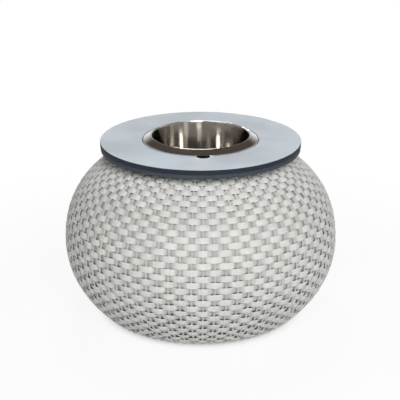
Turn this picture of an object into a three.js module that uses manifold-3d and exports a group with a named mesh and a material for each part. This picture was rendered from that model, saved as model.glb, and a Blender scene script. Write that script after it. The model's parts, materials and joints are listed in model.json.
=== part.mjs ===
// Ice bucket coffee table: a woven round body on a bolted flat-bar frame, under a round
// two-board top whose centre holds a double-wall bucket that lifts out.
// Millimetres, +Z up. The floor is z = 0, the origin is under the middle, the front faces -Y.

import * as THREE from 'three';
import { mergeVertices } from 'three/addons/utils/BufferGeometryUtils.js';
import Module from 'manifold-3d';

const wasm = await Module();
wasm.setup();

// Driving dimensions: the whole table
const topHeight = 455;
const topDiameter = 506;
const bodyDiameter = 700;
const equatorHeight = 194;
const mouthDiameter = 394;
const baseDiameter = 509;
const upperPower = 2.25;
const lowerPower = 1.98;

// Driving dimensions: the top
const slabThickness = 12;
const boardThickness = 9;
const boardInset = 1;
const fingerNotchRadius = 16.5;
const slabArris = 0.8;
const slabCover = 2.7;
const flangeRebate = 1;

// Driving dimensions: the lift-out bucket
const bucketMouthDiameter = 246;
const bucketFloorDiameter = 224;
const bucketDepth = 215;
const bucketCorner = 14;
const flangeWidth = 24;
const flangeSeat = 11;
const flangeLip = 3.5;
const crestRise = 12.5;
const crestRadius = 1.8;
const sheetThickness = 1.2;
const shellThickness = 1;
const insulationThickness = 6;
const gasketThickness = 1;
const gasketWidth = 7.5;
const gasketInset = 1;

// Driving dimensions: the weave. An even number of stakes lets over and under meet all round.
const weaveThickness = 8.5;
const stakeCount = 80;
const rowCount = 32;
const firstRowInset = 15.2;
const lastRowInset = 22.8;
const padDepth = 0.3;
const padBow = 2.1;
const dipDepth = 4.4;
const dipWidth = 18;
const rowGrowthShare = 0.057;
const frontStakeShare = -0.356;

// Driving dimensions: the frame
const ribWidth = 20;
const ribThickness = 5;
const ribCount = 6;
const mouthRingThickness = 5;
const mouthRingInset = 3;
const baseRingThickness = 5;
const baseRingWidth = 32;
const hoopWidth = 25;
const hoopThickness = 4;
const upperHoopDepth = 90;
const tabMargin = 5;

// Driving dimensions: feet and fasteners
const glideHeight = 5;
const glideRadius = 15;
const glideChamfer = 1.2;
const glideWeb = 1.8;
const screwRadius = 3;
const screwHeadRadius = 5.5;
const topScrewHead = 3.3;
const topScrewInset = 10;
const topScrewClearance = 6.4;
const insertWall = 1.5;
const nutAcrossFlats = 10;
const nutHeight = 5;
const screwTail = 1.5;
const rivetRadius = 2.5;
const rivetHeadRadius = 4.8;
const rivetSink = 2.2;
const rivetHeadHeight = 1.8;

// Clearances
const seatGap = 0.3;
const sideGap = 0.3;
const cutOverrun = 4;

// Steps round and along the pieces
const bodySegments = 48;
const topSegments = 72;
const ringSegments = 48;
const bucketSegments = 36;
const glideSegments = 12;
const screwSegments = 8;
const notchSegments = 24;
const nutSides = 6;
const cornerSteps = 2;
const lowerSteps = 6;
const middleSteps = 3;
const upperSteps = 4;
const levelSteps = 40;
const meridianSteps = 200;

const rightAngle = Math.PI / 2;
const pitch = (2 * Math.PI) / ribCount;
const stakePitch = (2 * Math.PI) / stakeCount;

// Sizes that follow from the ones above
const bodyRadius = bodyDiameter / 2;
const topRadius = topDiameter / 2;
const flangeRadius = bucketMouthDiameter / 2 + flangeWidth;
const wellHoleRadius = flangeRadius - flangeSeat;
const screwHole = screwRadius + sideGap;
const insertLength = slabThickness - slabCover - seatGap;
const counterbore = glideHeight - glideWeb;
const glideScrewHead = counterbore - 2 * seatGap;

// Levels, from the floor up
const baseLevel = glideHeight + seatGap;
const baseTabLevel = baseLevel + baseRingThickness + seatGap;
const slabLevel = topHeight - slabThickness;
const boardLevel = slabLevel - seatGap - boardThickness;
const mouthRingLevel = boardLevel - seatGap - mouthRingThickness;
const mouthLevel = mouthRingLevel - seatGap;
const rebateLevel = topHeight - flangeRebate;
const lipLevel = rebateLevel + gasketThickness + 2 * seatGap;
const crestLevel = topHeight + crestRise;
const bucketFloorLevel = crestLevel - bucketDepth;

// The body's outer surface is a superellipse above the equator and another below it,
// each reaching just far enough to pass through the mouth or the base
const reachTo = (height, diameter, power) =>
  height / (1 - (diameter / bodyDiameter) ** power) ** (1 / power);
const upperReach = reachTo(mouthLevel - equatorHeight, mouthDiameter, upperPower);
const lowerReach = reachTo(equatorHeight - baseLevel, baseDiameter, lowerPower);

// Depths under the body's outer surface. A flat bar in a faceted round needs its corners clear.
const barCorner = (ribWidth / 2) * Math.tan(Math.PI / bodySegments);
const ribFace = weaveThickness + seatGap + barCorner;
const ribBack = ribFace + ribThickness;
const hoopFace = ribBack + seatGap;
const hoopBack = hoopFace + hoopThickness;

/** Point (radius, height) at an angle along the body's meridian, a depth under its surface. */
function skinPoint(angle, depth) {
  const side = Math.sign(angle);
  const power = side > 0 ? upperPower : lowerPower;
  const reach = side > 0 ? upperReach : lowerReach;
  const across = Math.cos(angle) ** (2 / power);
  const along = Math.abs(Math.sin(angle)) ** (2 / power);
  const normal = new THREE.Vector2(
    across ** (power - 1) / bodyRadius,
    (side * along ** (power - 1)) / reach,
  ).normalize();
  return new THREE.Vector2(bodyRadius * across, equatorHeight + side * reach * along)
    .addScaledVector(normal, -depth);
}

/** Meridian angle at which the surface a depth under the skin reaches a level, by halving. */
function skinAngle(level, depth) {
  let low = -rightAngle;
  let high = rightAngle;
  for (let step = 0; step < levelSteps; step += 1) {
    const middle = (low + high) / 2;
    if (skinPoint(middle, depth).y < level) low = middle;
    else high = middle;
  }
  return (low + high) / 2;
}

/** The two meridian angles that a hoop spans when its middle is at a level. */
function hoopSpan(level) {
  const middle = skinAngle(level, hoopFace);
  const nudge = hoopWidth / bodyDiameter;
  const rise = skinPoint(middle + nudge, hoopFace).sub(skinPoint(middle - nudge, hoopFace));
  const half = (rise.normalize().y * hoopWidth) / 2;
  return [skinAngle(level - half, hoopFace), skinAngle(level + half, hoopFace)];
}

/** Angles from one to another in equal steps, without the first. */
function stepsTo(from, to, count) {
  return Array.from({ length: count }, (_, step) => from + ((to - from) * (step + 1)) / count);
}

// The woven body, the ribs and the hoops share these stations, so their facets lie parallel
const bellySpan = hoopSpan(equatorHeight);
const upperSpan = hoopSpan(mouthLevel - upperHoopDepth);
const lowestAngle = skinAngle(baseLevel, 0);
const highestAngle = skinAngle(mouthLevel, 0);
const stations = [
  ...stepsTo(lowestAngle, bellySpan[0], lowerSteps),
  bellySpan[1],
  ...stepsTo(bellySpan[1], upperSpan[0], middleSteps),
  upperSpan[1],
  ...stepsTo(upperSpan[1], highestAngle, upperSteps).slice(0, -1),
];

/** The body's meridian between two levels at one depth, upwards, through the stations. */
function skinCurve(fromLevel, toLevel, depth) {
  const first = skinAngle(fromLevel, depth);
  const last = skinAngle(toLevel, depth);
  const inner = stations.filter((angle) => angle > first && angle < last);
  return [first, ...inner, last].map((angle) => skinPoint(angle, depth));
}

/** Radius of the surface a depth under the skin, at a level. */
const skinRadius = (level, depth) => skinPoint(skinAngle(level, depth), depth).x;

// The top screws stand clear of the bend in the ribs, and the mouth ring's bore follows them
const ribTop = mouthLevel - seatGap;
const ribShoulder = skinRadius(ribTop - ribThickness, ribBack);
const topScrewCircle = ribShoulder - screwHeadRadius - topScrewClearance;
const mouthRingBore = topScrewCircle - topScrewInset;

/** Outline points from pairs of numbers. */
const outline = (...pairs) => pairs.map(([x, y]) => new THREE.Vector2(x, y));

/** Turned piece about Z from an outline of (radius, height) that runs up its outside. */
function turned(points, segments) {
  const onAxis = points[0].x === 0 && points[points.length - 1].x === 0;
  const loop = onAxis ? points : [...points, points[0]];
  return new THREE.LatheGeometry(loop, segments).rotateX(rightAngle);
}

/** Flat ring or disc of rectangular section between two levels. */
function ring(bore, radius, low, high, segments) {
  return turned(outline([bore, low], [radius, low], [radius, high], [bore, high]), segments);
}

/** Solid round bar about Z between two levels. */
function bar(radius, low, high, segments) {
  return turned(outline([0, low], [radius, low], [radius, high], [0, high]), segments);
}

/** A geometry's closed surface as a solid that can be cut. */
function solidOf(geometry) {
  const bare = new THREE.BufferGeometry();
  bare.setAttribute('position', geometry.getAttribute('position').clone());
  if (geometry.index) bare.setIndex(geometry.index.clone());
  const merged = mergeVertices(bare);
  return new wasm.Manifold(new wasm.Mesh({
    numProp: 3,
    vertProperties: new Float32Array(merged.getAttribute('position').array),
    triVerts: new Uint32Array(merged.index.array),
  }));
}

/** A piece with the given tools cut away. */
function cut(geometry, tools) {
  const left = tools.reduce((body, tool) => body.subtract(solidOf(tool)), solidOf(geometry));
  const mesh = left.getMesh();
  const result = new THREE.BufferGeometry();
  result.setAttribute('position', new THREE.BufferAttribute(mesh.vertProperties, 3));
  result.setIndex(new THREE.BufferAttribute(mesh.triVerts, 1));
  return result;
}

/** Copies of a tool at every rib. */
function atEveryRib(geometry) {
  return Array.from({ length: ribCount }, (_, k) => geometry.clone().rotateZ(k * pitch));
}

/** Sheet-metal section: a centre line given thickness, with mitred bends, outside first. */
function sheetSection(centre, thickness) {
  const directions = centre.slice(1).map((point, k) => point.clone().sub(centre[k]).normalize());
  const offset = (side) => centre.map((point, k) => {
    const before = directions[Math.max(k - 1, 0)];
    const after = directions[Math.min(k, directions.length - 1)];
    const mitre = new THREE.Vector2(before.y + after.y, -before.x - after.x).normalize();
    const stretch = new THREE.Vector2(after.y, -after.x).dot(mitre);
    return point.clone().addScaledVector(mitre, (side * thickness) / 2 / stretch);
  });
  return [...offset(1), ...offset(-1).reverse()];
}

/** Round bend of a centre line: points on a quarter arc or a part of one. */
function bend(centreX, centreY, radius, fromAngle, toAngle) {
  return [fromAngle, ...stepsTo(fromAngle, toAngle, cornerSteps)].map((angle) =>
    new THREE.Vector2(centreX + radius * Math.cos(angle), centreY + radius * Math.sin(angle)));
}

const finishes = {
  slab: { color: 0xccd2d8, roughness: 0.35, metalness: 0 },
  board: { color: 0x4a535a, roughness: 0.6, metalness: 0 },
  steel: { color: 0xd8d6d2, roughness: 0.12, metalness: 1 },
  foam: { color: 0xf0ede4, roughness: 0.9, metalness: 0 },
  silicone: { color: 0x9a9d9c, roughness: 0.6, metalness: 0 },
  frame: { color: 0xb9b6ae, roughness: 0.55, metalness: 0.3 },
  weave: { color: 0xdedcd5, roughness: 0.6, metalness: 0 },
  zinc: { color: 0xb8bcc0, roughness: 0.35, metalness: 1 },
  brass: { color: 0xb59a58, roughness: 0.35, metalness: 1 },
  glide: { color: 0x2b2c2e, roughness: 0.5, metalness: 0 },
};
const materials = Object.fromEntries(Object.entries(finishes)
  .map(([name, values]) => [name, new THREE.MeshStandardMaterial(values)]));

const table = new THREE.Group();

/** Adds one named piece to a group. */
function add(group, name, geometry, finish) {
  const piece = new THREE.Mesh(geometry, materials[finish]);
  piece.name = name;
  group.add(piece);
  return piece;
}

/** Adds the same piece at every rib, numbered from 1. */
function addAtRibs(group, name, geometry, finish) {
  for (let k = 0; k < ribCount; k += 1) {
    add(group, `${name}_${k + 1}`, geometry, finish).rotation.z = k * pitch;
  }
}

/** The finger notch in both boards, centred on the flange's edge at the front. */
function notchTool() {
  return bar(fingerNotchRadius, boardLevel - cutOverrun, topHeight + cutOverrun, notchSegments)
    .translate(0, -flangeRadius, 0);
}

/** Pale slab with eased arrises, a rebate for the flange, blind holes and the finger notch. */
function tabletopSlab() {
  const a = slabArris;
  const rebateRadius = flangeRadius + 2 * sideGap;
  const section = outline(
    [wellHoleRadius, slabLevel], [topRadius - a, slabLevel], [topRadius, slabLevel + a],
    [topRadius, topHeight - a], [topRadius - a, topHeight], [rebateRadius, topHeight],
    [rebateRadius, rebateLevel], [wellHoleRadius, rebateLevel],
  );
  const holeRadius = screwHole + insertWall + sideGap;
  const holeTop = slabLevel + insertLength + seatGap;
  const hole = bar(holeRadius, slabLevel - cutOverrun, holeTop, screwSegments)
    .translate(topScrewCircle, 0, 0);
  return cut(turned(section, topSegments), [notchTool(), ...atEveryRib(hole)]);
}

/** Dark board under the slab, with clearance holes for the screws. */
function backingBoard() {
  const high = boardLevel + boardThickness;
  const hole = bar(screwHole, boardLevel - cutOverrun, high + cutOverrun, screwSegments)
    .translate(topScrewCircle, 0, 0);
  const disc = ring(wellHoleRadius, topRadius - boardInset, boardLevel, high, topSegments);
  return cut(disc, [notchTool(), ...atEveryRib(hole)]);
}

/** Threaded insert: a plain tube in the slab's blind hole. */
function threadedInsert() {
  return ring(screwHole, screwHole + insertWall, slabLevel, slabLevel + insertLength, screwSegments)
    .translate(topScrewCircle, 0, 0);
}

/** Button-head screw from under the rib's tab up into the insert. */
function topScrew() {
  const headTop = mouthLevel - ribThickness - seatGap;
  const tip = slabLevel + insertLength - seatGap;
  return turned(outline(
    [0, headTop - topScrewHead], [screwHeadRadius, headTop - topScrewHead],
    [screwHeadRadius, headTop], [screwRadius, headTop], [screwRadius, tip], [0, tip],
  ), screwSegments).translate(topScrewCircle, 0, 0);
}

/** Centre line of the bucket's liner, from the middle of its floor to the flange's edge. */
function linerLine() {
  const half = sheetThickness / 2;
  const mouth = bucketMouthDiameter / 2 + half;
  const floor = bucketFloorLevel - half;
  const cornerX = bucketFloorDiameter / 2 + half - bucketCorner;
  const crestX = mouth + crestRadius;
  const crestY = crestLevel - half - crestRadius;
  const lipY = lipLevel + half;
  return [
    new THREE.Vector2(0, floor),
    ...bend(cornerX, floor + bucketCorner, bucketCorner, -rightAngle, 0),
    ...bend(crestX, crestY, crestRadius, Math.PI, rightAngle / 2),
    new THREE.Vector2(flangeRadius - flangeLip, lipY),
    new THREE.Vector2(flangeRadius, lipY),
  ];
}

/** Height of the flange's underside at a radius, on its sloping part. */
function flangeUnderside(radius) {
  const line = linerLine();
  const [crest, foot] = line.slice(-3, -1);
  const slope = new THREE.Vector2().subVectors(foot, crest);
  const along = (radius - crest.x) / slope.x;
  const under = (sheetThickness / 2) * (slope.length() / slope.x);
  return crest.y + along * slope.y - under;
}

/** Centre line of a cup that follows the liner's wall at a distance, up to a level. */
function cupLine(distance, topLevel) {
  const [wallFoot, wallHead] = linerLine().slice(1 + cornerSteps);
  const floor = bucketFloorLevel - sheetThickness / 2 - distance;
  const share = (topLevel - wallFoot.y) / (wallHead.y - wallFoot.y);
  const top = new THREE.Vector2(wallFoot.x + (wallHead.x - wallFoot.x) * share, topLevel);
  return [
    new THREE.Vector2(0, floor),
    ...bend(wallFoot.x - bucketCorner, wallFoot.y, bucketCorner + distance, -rightAngle, 0),
    top.setX(top.x + distance),
  ];
}

const foamDistance = sheetThickness / 2 + sideGap + insulationThickness / 2;
const shellDistance = foamDistance + insulationThickness / 2 + sideGap + shellThickness / 2;
const shellOuterRadius = (bucketMouthDiameter + sheetThickness + shellThickness) / 2 + shellDistance;

/** The lift-out bucket: polished liner with its flange, insulation and outer shell. */
function bucketPieces() {
  const bucket = new THREE.Group();
  const shellTop = flangeUnderside(shellOuterRadius) - seatGap;
  const foamTop = shellTop - insulationThickness;
  const cup = (distance, top, thickness) =>
    turned(sheetSection(cupLine(distance, top), thickness), bucketSegments);
  add(bucket, 'bucket_liner', turned(sheetSection(linerLine(), sheetThickness), bucketSegments),
    'steel');
  add(bucket, 'bucket_insulation', cup(foamDistance, foamTop, insulationThickness), 'foam');
  add(bucket, 'bucket_outer_shell', cup(shellDistance, shellTop, shellThickness), 'steel');
  return bucket;
}

/** Silicone ring in the slab's rebate under the flange, open at the finger notch. */
function flangeGasket() {
  const low = rebateLevel + seatGap;
  const outer = flangeRadius - gasketInset;
  const section = ring(outer - gasketWidth, outer, low, low + gasketThickness, ringSegments);
  const opening = bar(fingerNotchRadius + gasketInset, low - cutOverrun, lipLevel + cutOverrun,
    notchSegments).translate(0, -flangeRadius, 0);
  return cut(section, [opening]);
}

/** Meridian angles of the rows, from the mouth down, by the meridian's length. */
function rowAngles() {
  const angles = [highestAngle, ...stepsTo(highestAngle, lowestAngle, meridianSteps)];
  const points = angles.map((angle) => skinPoint(angle, 0));
  const runs = [0];
  for (let k = 1; k < points.length; k += 1) {
    runs.push(runs[k - 1] + points[k].distanceTo(points[k - 1]));
  }
  const lastRun = runs[runs.length - 1] - lastRowInset;
  return Array.from({ length: rowCount }, (_, row) => {
    const share = row / (rowCount - 1);
    const grown = (share + rowGrowthShare * share ** 2) / (1 + rowGrowthShare);
    const run = firstRowInset + (lastRun - firstRowInset) * grown;
    const k = runs.findIndex((length) => length > run);
    const part = (run - runs[k - 1]) / (runs[k] - runs[k - 1]);
    return angles[k - 1] + (angles[k] - angles[k - 1]) * part;
  });
}

/** Triangles between stakes j and j + 1 from a row with its dip at the first to one at the second. */
function weaveCell(near, far) {
  return [
    [near.stake, near.edge, far.stake], [near.edge, far.edge, far.stake],
    [near.edge, near.next, far.edge], [near.next, far.next, far.edge],
  ];
}

/**
 * Outside of the woven body as a closed lump: a dip where a row's strand passes behind a stake,
 * and a bowed pad over the next stake. Rows lie half a period apart, like bricks.
 */
function wovenOutside() {
  const positions = [];
  const triangles = [];
  const put = (angle, depth, stakes) => {
    const point = skinPoint(angle, depth);
    const round = (frontStakeShare + stakes) * stakePitch - rightAngle;
    positions.push(point.x * Math.cos(round), point.x * Math.sin(round), point.y);
    return positions.length / 3 - 1;
  };
  const stakes = Array.from({ length: stakeCount }, (_, stake) => stake);
  const rows = rowAngles().map((angle, row) => {
    const dips = (stake) => (row + stake) % 2 === 0;
    const edgePitch = dipWidth / 2 / (skinPoint(angle, 0).x * stakePitch);
    const middle = stakes.map((stake) => put(angle, dips(stake) ? dipDepth : padDepth, stake));
    const edge = stakes.map((stake) =>
      put(angle, padDepth + padBow, stake + (dips(stake) ? edgePitch : 1 - edgePitch)));
    return { middle, edge };
  });
  const at = (row, stake) => ({
    stake: row.middle[stake], edge: row.edge[stake], next: row.middle[(stake + 1) % stakeCount],
  });
  rows.slice(1).forEach((below, row) => stakes.forEach((stake) => {
    const [upper, lower] = [at(rows[row], stake), at(below, stake)];
    if ((row + stake) % 2 === 0) {
      triangles.push(...weaveCell(upper, lower).map(([a, b, c]) => [a, c, b]));
    } else triangles.push(...weaveCell(lower, upper));
  }));
  const rim = (angle, row, up) => {
    const ringPoints = stakes.map((stake) => put(angle, 0, stake));
    const centre = positions.length / 3;
    positions.push(0, 0, skinPoint(angle, 0).y);
    stakes.forEach((stake) => {
      const next = ringPoints[(stake + 1) % stakeCount];
      const cell = at(row, stake);
      const fan = [
        [ringPoints[stake], cell.stake, cell.edge], [ringPoints[stake], cell.edge, next],
        [next, cell.edge, cell.next], [centre, ringPoints[stake], next],
      ];
      triangles.push(...(up ? fan : fan.map(([a, b, c]) => [a, c, b])));
    });
  };
  rim(highestAngle, rows[0], true);
  rim(lowestAngle, rows[rowCount - 1], false);
  const lump = new THREE.BufferGeometry();
  lump.setAttribute('position', new THREE.Float32BufferAttribute(positions, 3));
  lump.setIndex(triangles.flat());
  return lump;
}

/** Woven body: its outside with the space inside it cut away from the base to the mouth. */
function wovenBody() {
  const inside = skinCurve(baseLevel, mouthLevel, weaveThickness);
  const [foot, head] = [inside[0], inside[inside.length - 1]];
  const space = turned([
    ...outline([0, foot.y - cutOverrun], [foot.x, foot.y - cutOverrun]), ...inside,
    ...outline([head.x, head.y + cutOverrun], [0, head.y + cutOverrun]),
  ], bodySegments);
  return cut(wovenOutside(), [space]);
}

/** Middle and inward direction of a rib's face where a hoop's two angles cross it. */
function crossing(span) {
  const [low, high] = span.map((angle) => skinPoint(angle, ribFace));
  const along = high.clone().sub(low).normalize();
  return { point: low.add(high).divideScalar(2), inward: new THREE.Vector2(-along.y, along.x) };
}

/** Turned shape whose Y axis is laid on a crossing, pointing inwards, at the first rib. */
function onCrossing(points, span) {
  const { point, inward } = crossing(span);
  const up = new THREE.Vector3(0, 1, 0);
  const direction = new THREE.Vector3(inward.x, 0, inward.y);
  const shape = new THREE.LatheGeometry(points, screwSegments);
  shape.applyQuaternion(new THREE.Quaternion().setFromUnitVectors(up, direction));
  return shape.translate(point.x, 0, point.y);
}

/** Countersunk rivet through rib and hoop, with its set head inside the hoop. */
function hoopRivet(span) {
  const grip = ribThickness + seatGap + hoopThickness + seatGap;
  const rim = grip + rivetHeadHeight;
  return onCrossing(outline(
    [0, seatGap], [rivetHeadRadius - sideGap, seatGap], [rivetRadius, rivetSink],
    [rivetRadius, grip], [rivetHeadRadius, grip], [rivetRadius, rim], [0, rim],
  ), span);
}

/** Countersunk hole for a hoop rivet, through rib and hoop. */
function rivetHole(span) {
  const deep = ribThickness + hoopThickness + cutOverrun;
  const bore = rivetRadius + sideGap;
  return onCrossing(outline(
    [0, -cutOverrun], [rivetHeadRadius + sideGap, -cutOverrun], [rivetHeadRadius + sideGap, 0],
    [bore, rivetSink], [bore, deep], [0, deep],
  ), span);
}

const baseRingOuter = skinRadius(baseLevel, weaveThickness) - seatGap - barCorner;
const glideCircle = baseRingOuter - baseRingWidth / 2;

/** Bent flat bar from its tab on the base ring to its tab under the mouth ring. */
function rib() {
  const bottom = baseTabLevel;
  const top = ribTop;
  const outside = skinCurve(bottom, top, ribFace);
  const inside = skinCurve(bottom + ribThickness, top - ribThickness, ribBack).reverse();
  const footEnd = glideCircle - screwHeadRadius - tabMargin;
  const headEnd = topScrewCircle - screwHeadRadius - tabMargin;
  const profile = new THREE.Shape([
    new THREE.Vector2(footEnd, bottom), ...outside, new THREE.Vector2(headEnd, top),
    new THREE.Vector2(headEnd, top - ribThickness), ...inside,
    new THREE.Vector2(footEnd, bottom + ribThickness),
  ]);
  const band = new THREE.ExtrudeGeometry(profile, { depth: ribWidth, bevelEnabled: false, steps: 1 });
  band.rotateX(rightAngle).translate(0, ribWidth / 2, 0);
  const upright = (radius, level) =>
    bar(screwHole, level - cutOverrun, level + ribThickness + cutOverrun, screwSegments)
      .translate(radius, 0, 0);
  return cut(band, [
    upright(glideCircle, bottom), upright(topScrewCircle, top - ribThickness),
    rivetHole(bellySpan), rivetHole(upperSpan),
  ]);
}

/** Flat-bar hoop inside the ribs, drilled for its rivets. */
function hoop(span) {
  const face = span.map((angle) => skinPoint(angle, hoopFace));
  const back = span.map((angle) => skinPoint(angle, hoopBack)).reverse();
  return cut(turned([...face, ...back], ringSegments), atEveryRib(rivetHole(span)));
}

/** Flat plate ring with one clearance hole at every rib. */
function drilledRing(bore, radius, low, high, holeCircle) {
  const hole = bar(screwHole, low - cutOverrun, high + cutOverrun, screwSegments)
    .translate(holeCircle, 0, 0);
  return cut(ring(bore, radius, low, high, ringSegments), atEveryRib(hole));
}

/** Moulded glide with a counterbore that keeps the screw's head off the floor. */
function glide() {
  const well = screwHeadRadius + 2 * sideGap;
  return turned(outline(
    [well, 0], [glideRadius - glideChamfer, 0], [glideRadius, glideChamfer],
    [glideRadius, glideHeight], [screwHole, glideHeight], [screwHole, counterbore],
    [well, counterbore],
  ), glideSegments).translate(glideCircle, 0, 0);
}

const nutLevel = baseTabLevel + ribThickness + seatGap;

/** Pan-head screw through glide, base ring, rib tab and nut. */
function glideScrew() {
  const headTop = counterbore - seatGap;
  const tip = nutLevel + nutHeight + screwTail;
  return turned(outline(
    [0, headTop - glideScrewHead], [screwHeadRadius, headTop - glideScrewHead],
    [screwHeadRadius, headTop], [screwRadius, headTop], [screwRadius, tip], [0, tip],
  ), screwSegments).translate(glideCircle, 0, 0);
}

/** Hexagon nut on the rib's foot tab. */
function footNut() {
  const corner = nutAcrossFlats / 2 / Math.cos(Math.PI / nutSides);
  const blank = bar(corner, nutLevel, nutLevel + nutHeight, nutSides);
  const bore = bar(screwHole, nutLevel - cutOverrun, nutLevel + nutHeight + cutOverrun,
    screwSegments);
  return cut(blank, [bore]).translate(glideCircle, 0, 0);
}

add(table, 'tabletop_slab', tabletopSlab(), 'slab');
add(table, 'backing_board', backingBoard(), 'board');
add(table, 'flange_gasket', flangeGasket(), 'silicone');
table.add(bucketPieces());
add(table, 'woven_body', wovenBody(), 'weave');

const mouthRingTop = mouthRingLevel + mouthRingThickness;
add(table, 'mouth_ring', drilledRing(mouthRingBore, mouthDiameter / 2 - mouthRingInset,
  mouthRingLevel, mouthRingTop, topScrewCircle), 'frame');
add(table, 'base_ring', drilledRing(baseRingOuter - baseRingWidth, baseRingOuter, baseLevel,
  baseLevel + baseRingThickness, glideCircle), 'frame');
add(table, 'upper_hoop', hoop(upperSpan), 'frame');
add(table, 'belly_hoop', hoop(bellySpan), 'frame');

addAtRibs(table, 'rib', rib(), 'frame');
addAtRibs(table, 'upper_rivet', hoopRivet(upperSpan), 'zinc');
addAtRibs(table, 'belly_rivet', hoopRivet(bellySpan), 'zinc');
addAtRibs(table, 'threaded_insert', threadedInsert(), 'brass');
addAtRibs(table, 'top_screw', topScrew(), 'zinc');
addAtRibs(table, 'glide', glide(), 'glide');
addAtRibs(table, 'glide_screw', glideScrew(), 'zinc');
addAtRibs(table, 'foot_nut', footNut(), 'zinc');

export default table;
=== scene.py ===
"""Looks of a woven ice bucket coffee table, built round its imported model.

Everything is in metres, +Z up, with the floor at z = 0 and the front facing -Y. Angles round the
table start at the front and grow towards +X.
"""

from __future__ import annotations

import json
import logging
import math
from collections.abc import Mapping, Sequence
from dataclasses import dataclass, field
from enum import Enum
from typing import Any

import bpy
import numpy as np
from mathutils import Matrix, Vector

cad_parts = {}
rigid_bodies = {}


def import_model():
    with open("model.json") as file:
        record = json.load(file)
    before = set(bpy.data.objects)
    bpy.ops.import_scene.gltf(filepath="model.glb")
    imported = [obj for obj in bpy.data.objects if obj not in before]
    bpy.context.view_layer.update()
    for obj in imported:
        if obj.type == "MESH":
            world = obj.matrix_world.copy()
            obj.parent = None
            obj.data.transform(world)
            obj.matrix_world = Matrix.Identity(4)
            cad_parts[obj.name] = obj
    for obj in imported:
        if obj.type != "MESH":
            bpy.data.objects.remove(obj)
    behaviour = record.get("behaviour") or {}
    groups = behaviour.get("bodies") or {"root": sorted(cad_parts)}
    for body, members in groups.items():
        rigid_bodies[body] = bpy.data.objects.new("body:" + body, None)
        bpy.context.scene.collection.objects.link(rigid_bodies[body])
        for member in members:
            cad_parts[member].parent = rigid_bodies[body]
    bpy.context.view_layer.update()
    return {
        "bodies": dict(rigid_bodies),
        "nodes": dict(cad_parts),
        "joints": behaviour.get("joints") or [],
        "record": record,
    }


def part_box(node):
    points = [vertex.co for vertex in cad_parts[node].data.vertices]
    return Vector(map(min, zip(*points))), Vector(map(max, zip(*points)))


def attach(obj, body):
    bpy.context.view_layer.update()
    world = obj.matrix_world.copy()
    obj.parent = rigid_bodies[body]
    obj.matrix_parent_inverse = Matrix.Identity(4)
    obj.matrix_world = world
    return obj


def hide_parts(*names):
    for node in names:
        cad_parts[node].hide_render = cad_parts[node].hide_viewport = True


LOG = logging.getLogger("ice_bucket_table")
MM = 0.001
SEED = 7
TABLE = "table"
BUCKET = "bucket"
Array = np.ndarray
Colour = tuple[float, float, float]
WHITE: Colour = (1.0, 1.0, 1.0)


def srgb(red: float, green: float, blue: float) -> Colour:
    """Turns display values from 0 to 255 into a linear colour.

    Args:
        red: Display red.
        green: Display green.
        blue: Display blue.

    Returns:
        The linear colour, by the usual curve: a straight foot, then a power of 2.4.
    """
    shares = (red / 255, green / 255, blue / 255)
    linear = [s / 12.92 if s <= 0.04045 else ((s + 0.055) / 1.055) ** 2.4 for s in shares]
    return linear[0], linear[1], linear[2]


def darkened(colour: Colour, share: float) -> Colour:
    """A colour with each part times a share."""
    red, green, blue = (share * part for part in colour)
    return red, green, blue


def smooth(share: Array) -> Array:
    """Smooth step of a share from 0 to 1: its square times three less twice the share."""
    return share * share * (3 - 2 * share)


def polar(radius: Array | float, turn: Array | float, *height: Array | float) -> Array:
    """Points at a radius and a turn: (radius times sine, less radius times cosine).

    Args:
        radius: Distance from the axis.
        turn: Angle from the front.
        height: Height over the floor, for points in space.

    Returns:
        The points, whose coordinates are the last axis.
    """
    parts = (radius * np.sin(turn), -radius * np.cos(turn), *height)
    return np.stack(np.broadcast_arrays(*parts), axis=-1)


class Slot(Enum):
    """Material slots of the record."""

    SLAB = "pale_slab"
    BOARD = "dark_board"
    POLISHED = "polished_steel"
    SATIN = "satin_steel"
    FOAM = "foam"
    SILICONE = "silicone"
    FRAME = "frame_coat"
    STRAND = "woven_strand"
    FASTENER = "fastener_steel"
    BRASS = "insert_brass"
    GLIDE = "moulded_glide"


class Term:
    """A socket whose operators add Math nodes, so shader maths reads as an expression."""

    def __init__(self, shader: Shader, socket: bpy.types.NodeSocket) -> None:
        """Wraps one output socket of a shader's tree."""
        self.shader = shader
        self.socket = socket

    def math(self, operation: str, *values: Any) -> Term:
        """Adds one Math node.

        Args:
            operation: The Math node's operation.
            values: Its inputs, in order.

        Returns:
            The node's result.
        """
        node = self.shader.node("ShaderNodeMath", {"operation": operation}, dict(enumerate(values)))
        return Term(self.shader, node.outputs[0])

    def __add__(self, other: Any) -> Term:
        """Sum."""
        return self.math("ADD", self, other)

    def __radd__(self, other: Any) -> Term:
        """Sum with a number on the left."""
        return self.math("ADD", other, self)

    def __sub__(self, other: Any) -> Term:
        """Difference."""
        return self.math("SUBTRACT", self, other)

    def __rsub__(self, other: Any) -> Term:
        """Difference from a number on the left."""
        return self.math("SUBTRACT", other, self)

    def __mul__(self, other: Any) -> Term:
        """Product."""
        return self.math("MULTIPLY", self, other)

    def __rmul__(self, other: Any) -> Term:
        """Product with a number on the left."""
        return self.math("MULTIPLY", other, self)

    def ramp(self, low: float, high: float) -> Term:
        """Smooth rise from 0 at low to 1 at high.

        Args:
            low: Where the rise starts.
            high: Where it ends.

        Returns:
            The risen value.
        """
        values = {0: self, 1: low, 2: high, 3: 0.0, 4: 1.0}
        node = self.shader.node("ShaderNodeMapRange", {"interpolation_type": "SMOOTHSTEP"}, values)
        return Term(self.shader, node.outputs[0])


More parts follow.
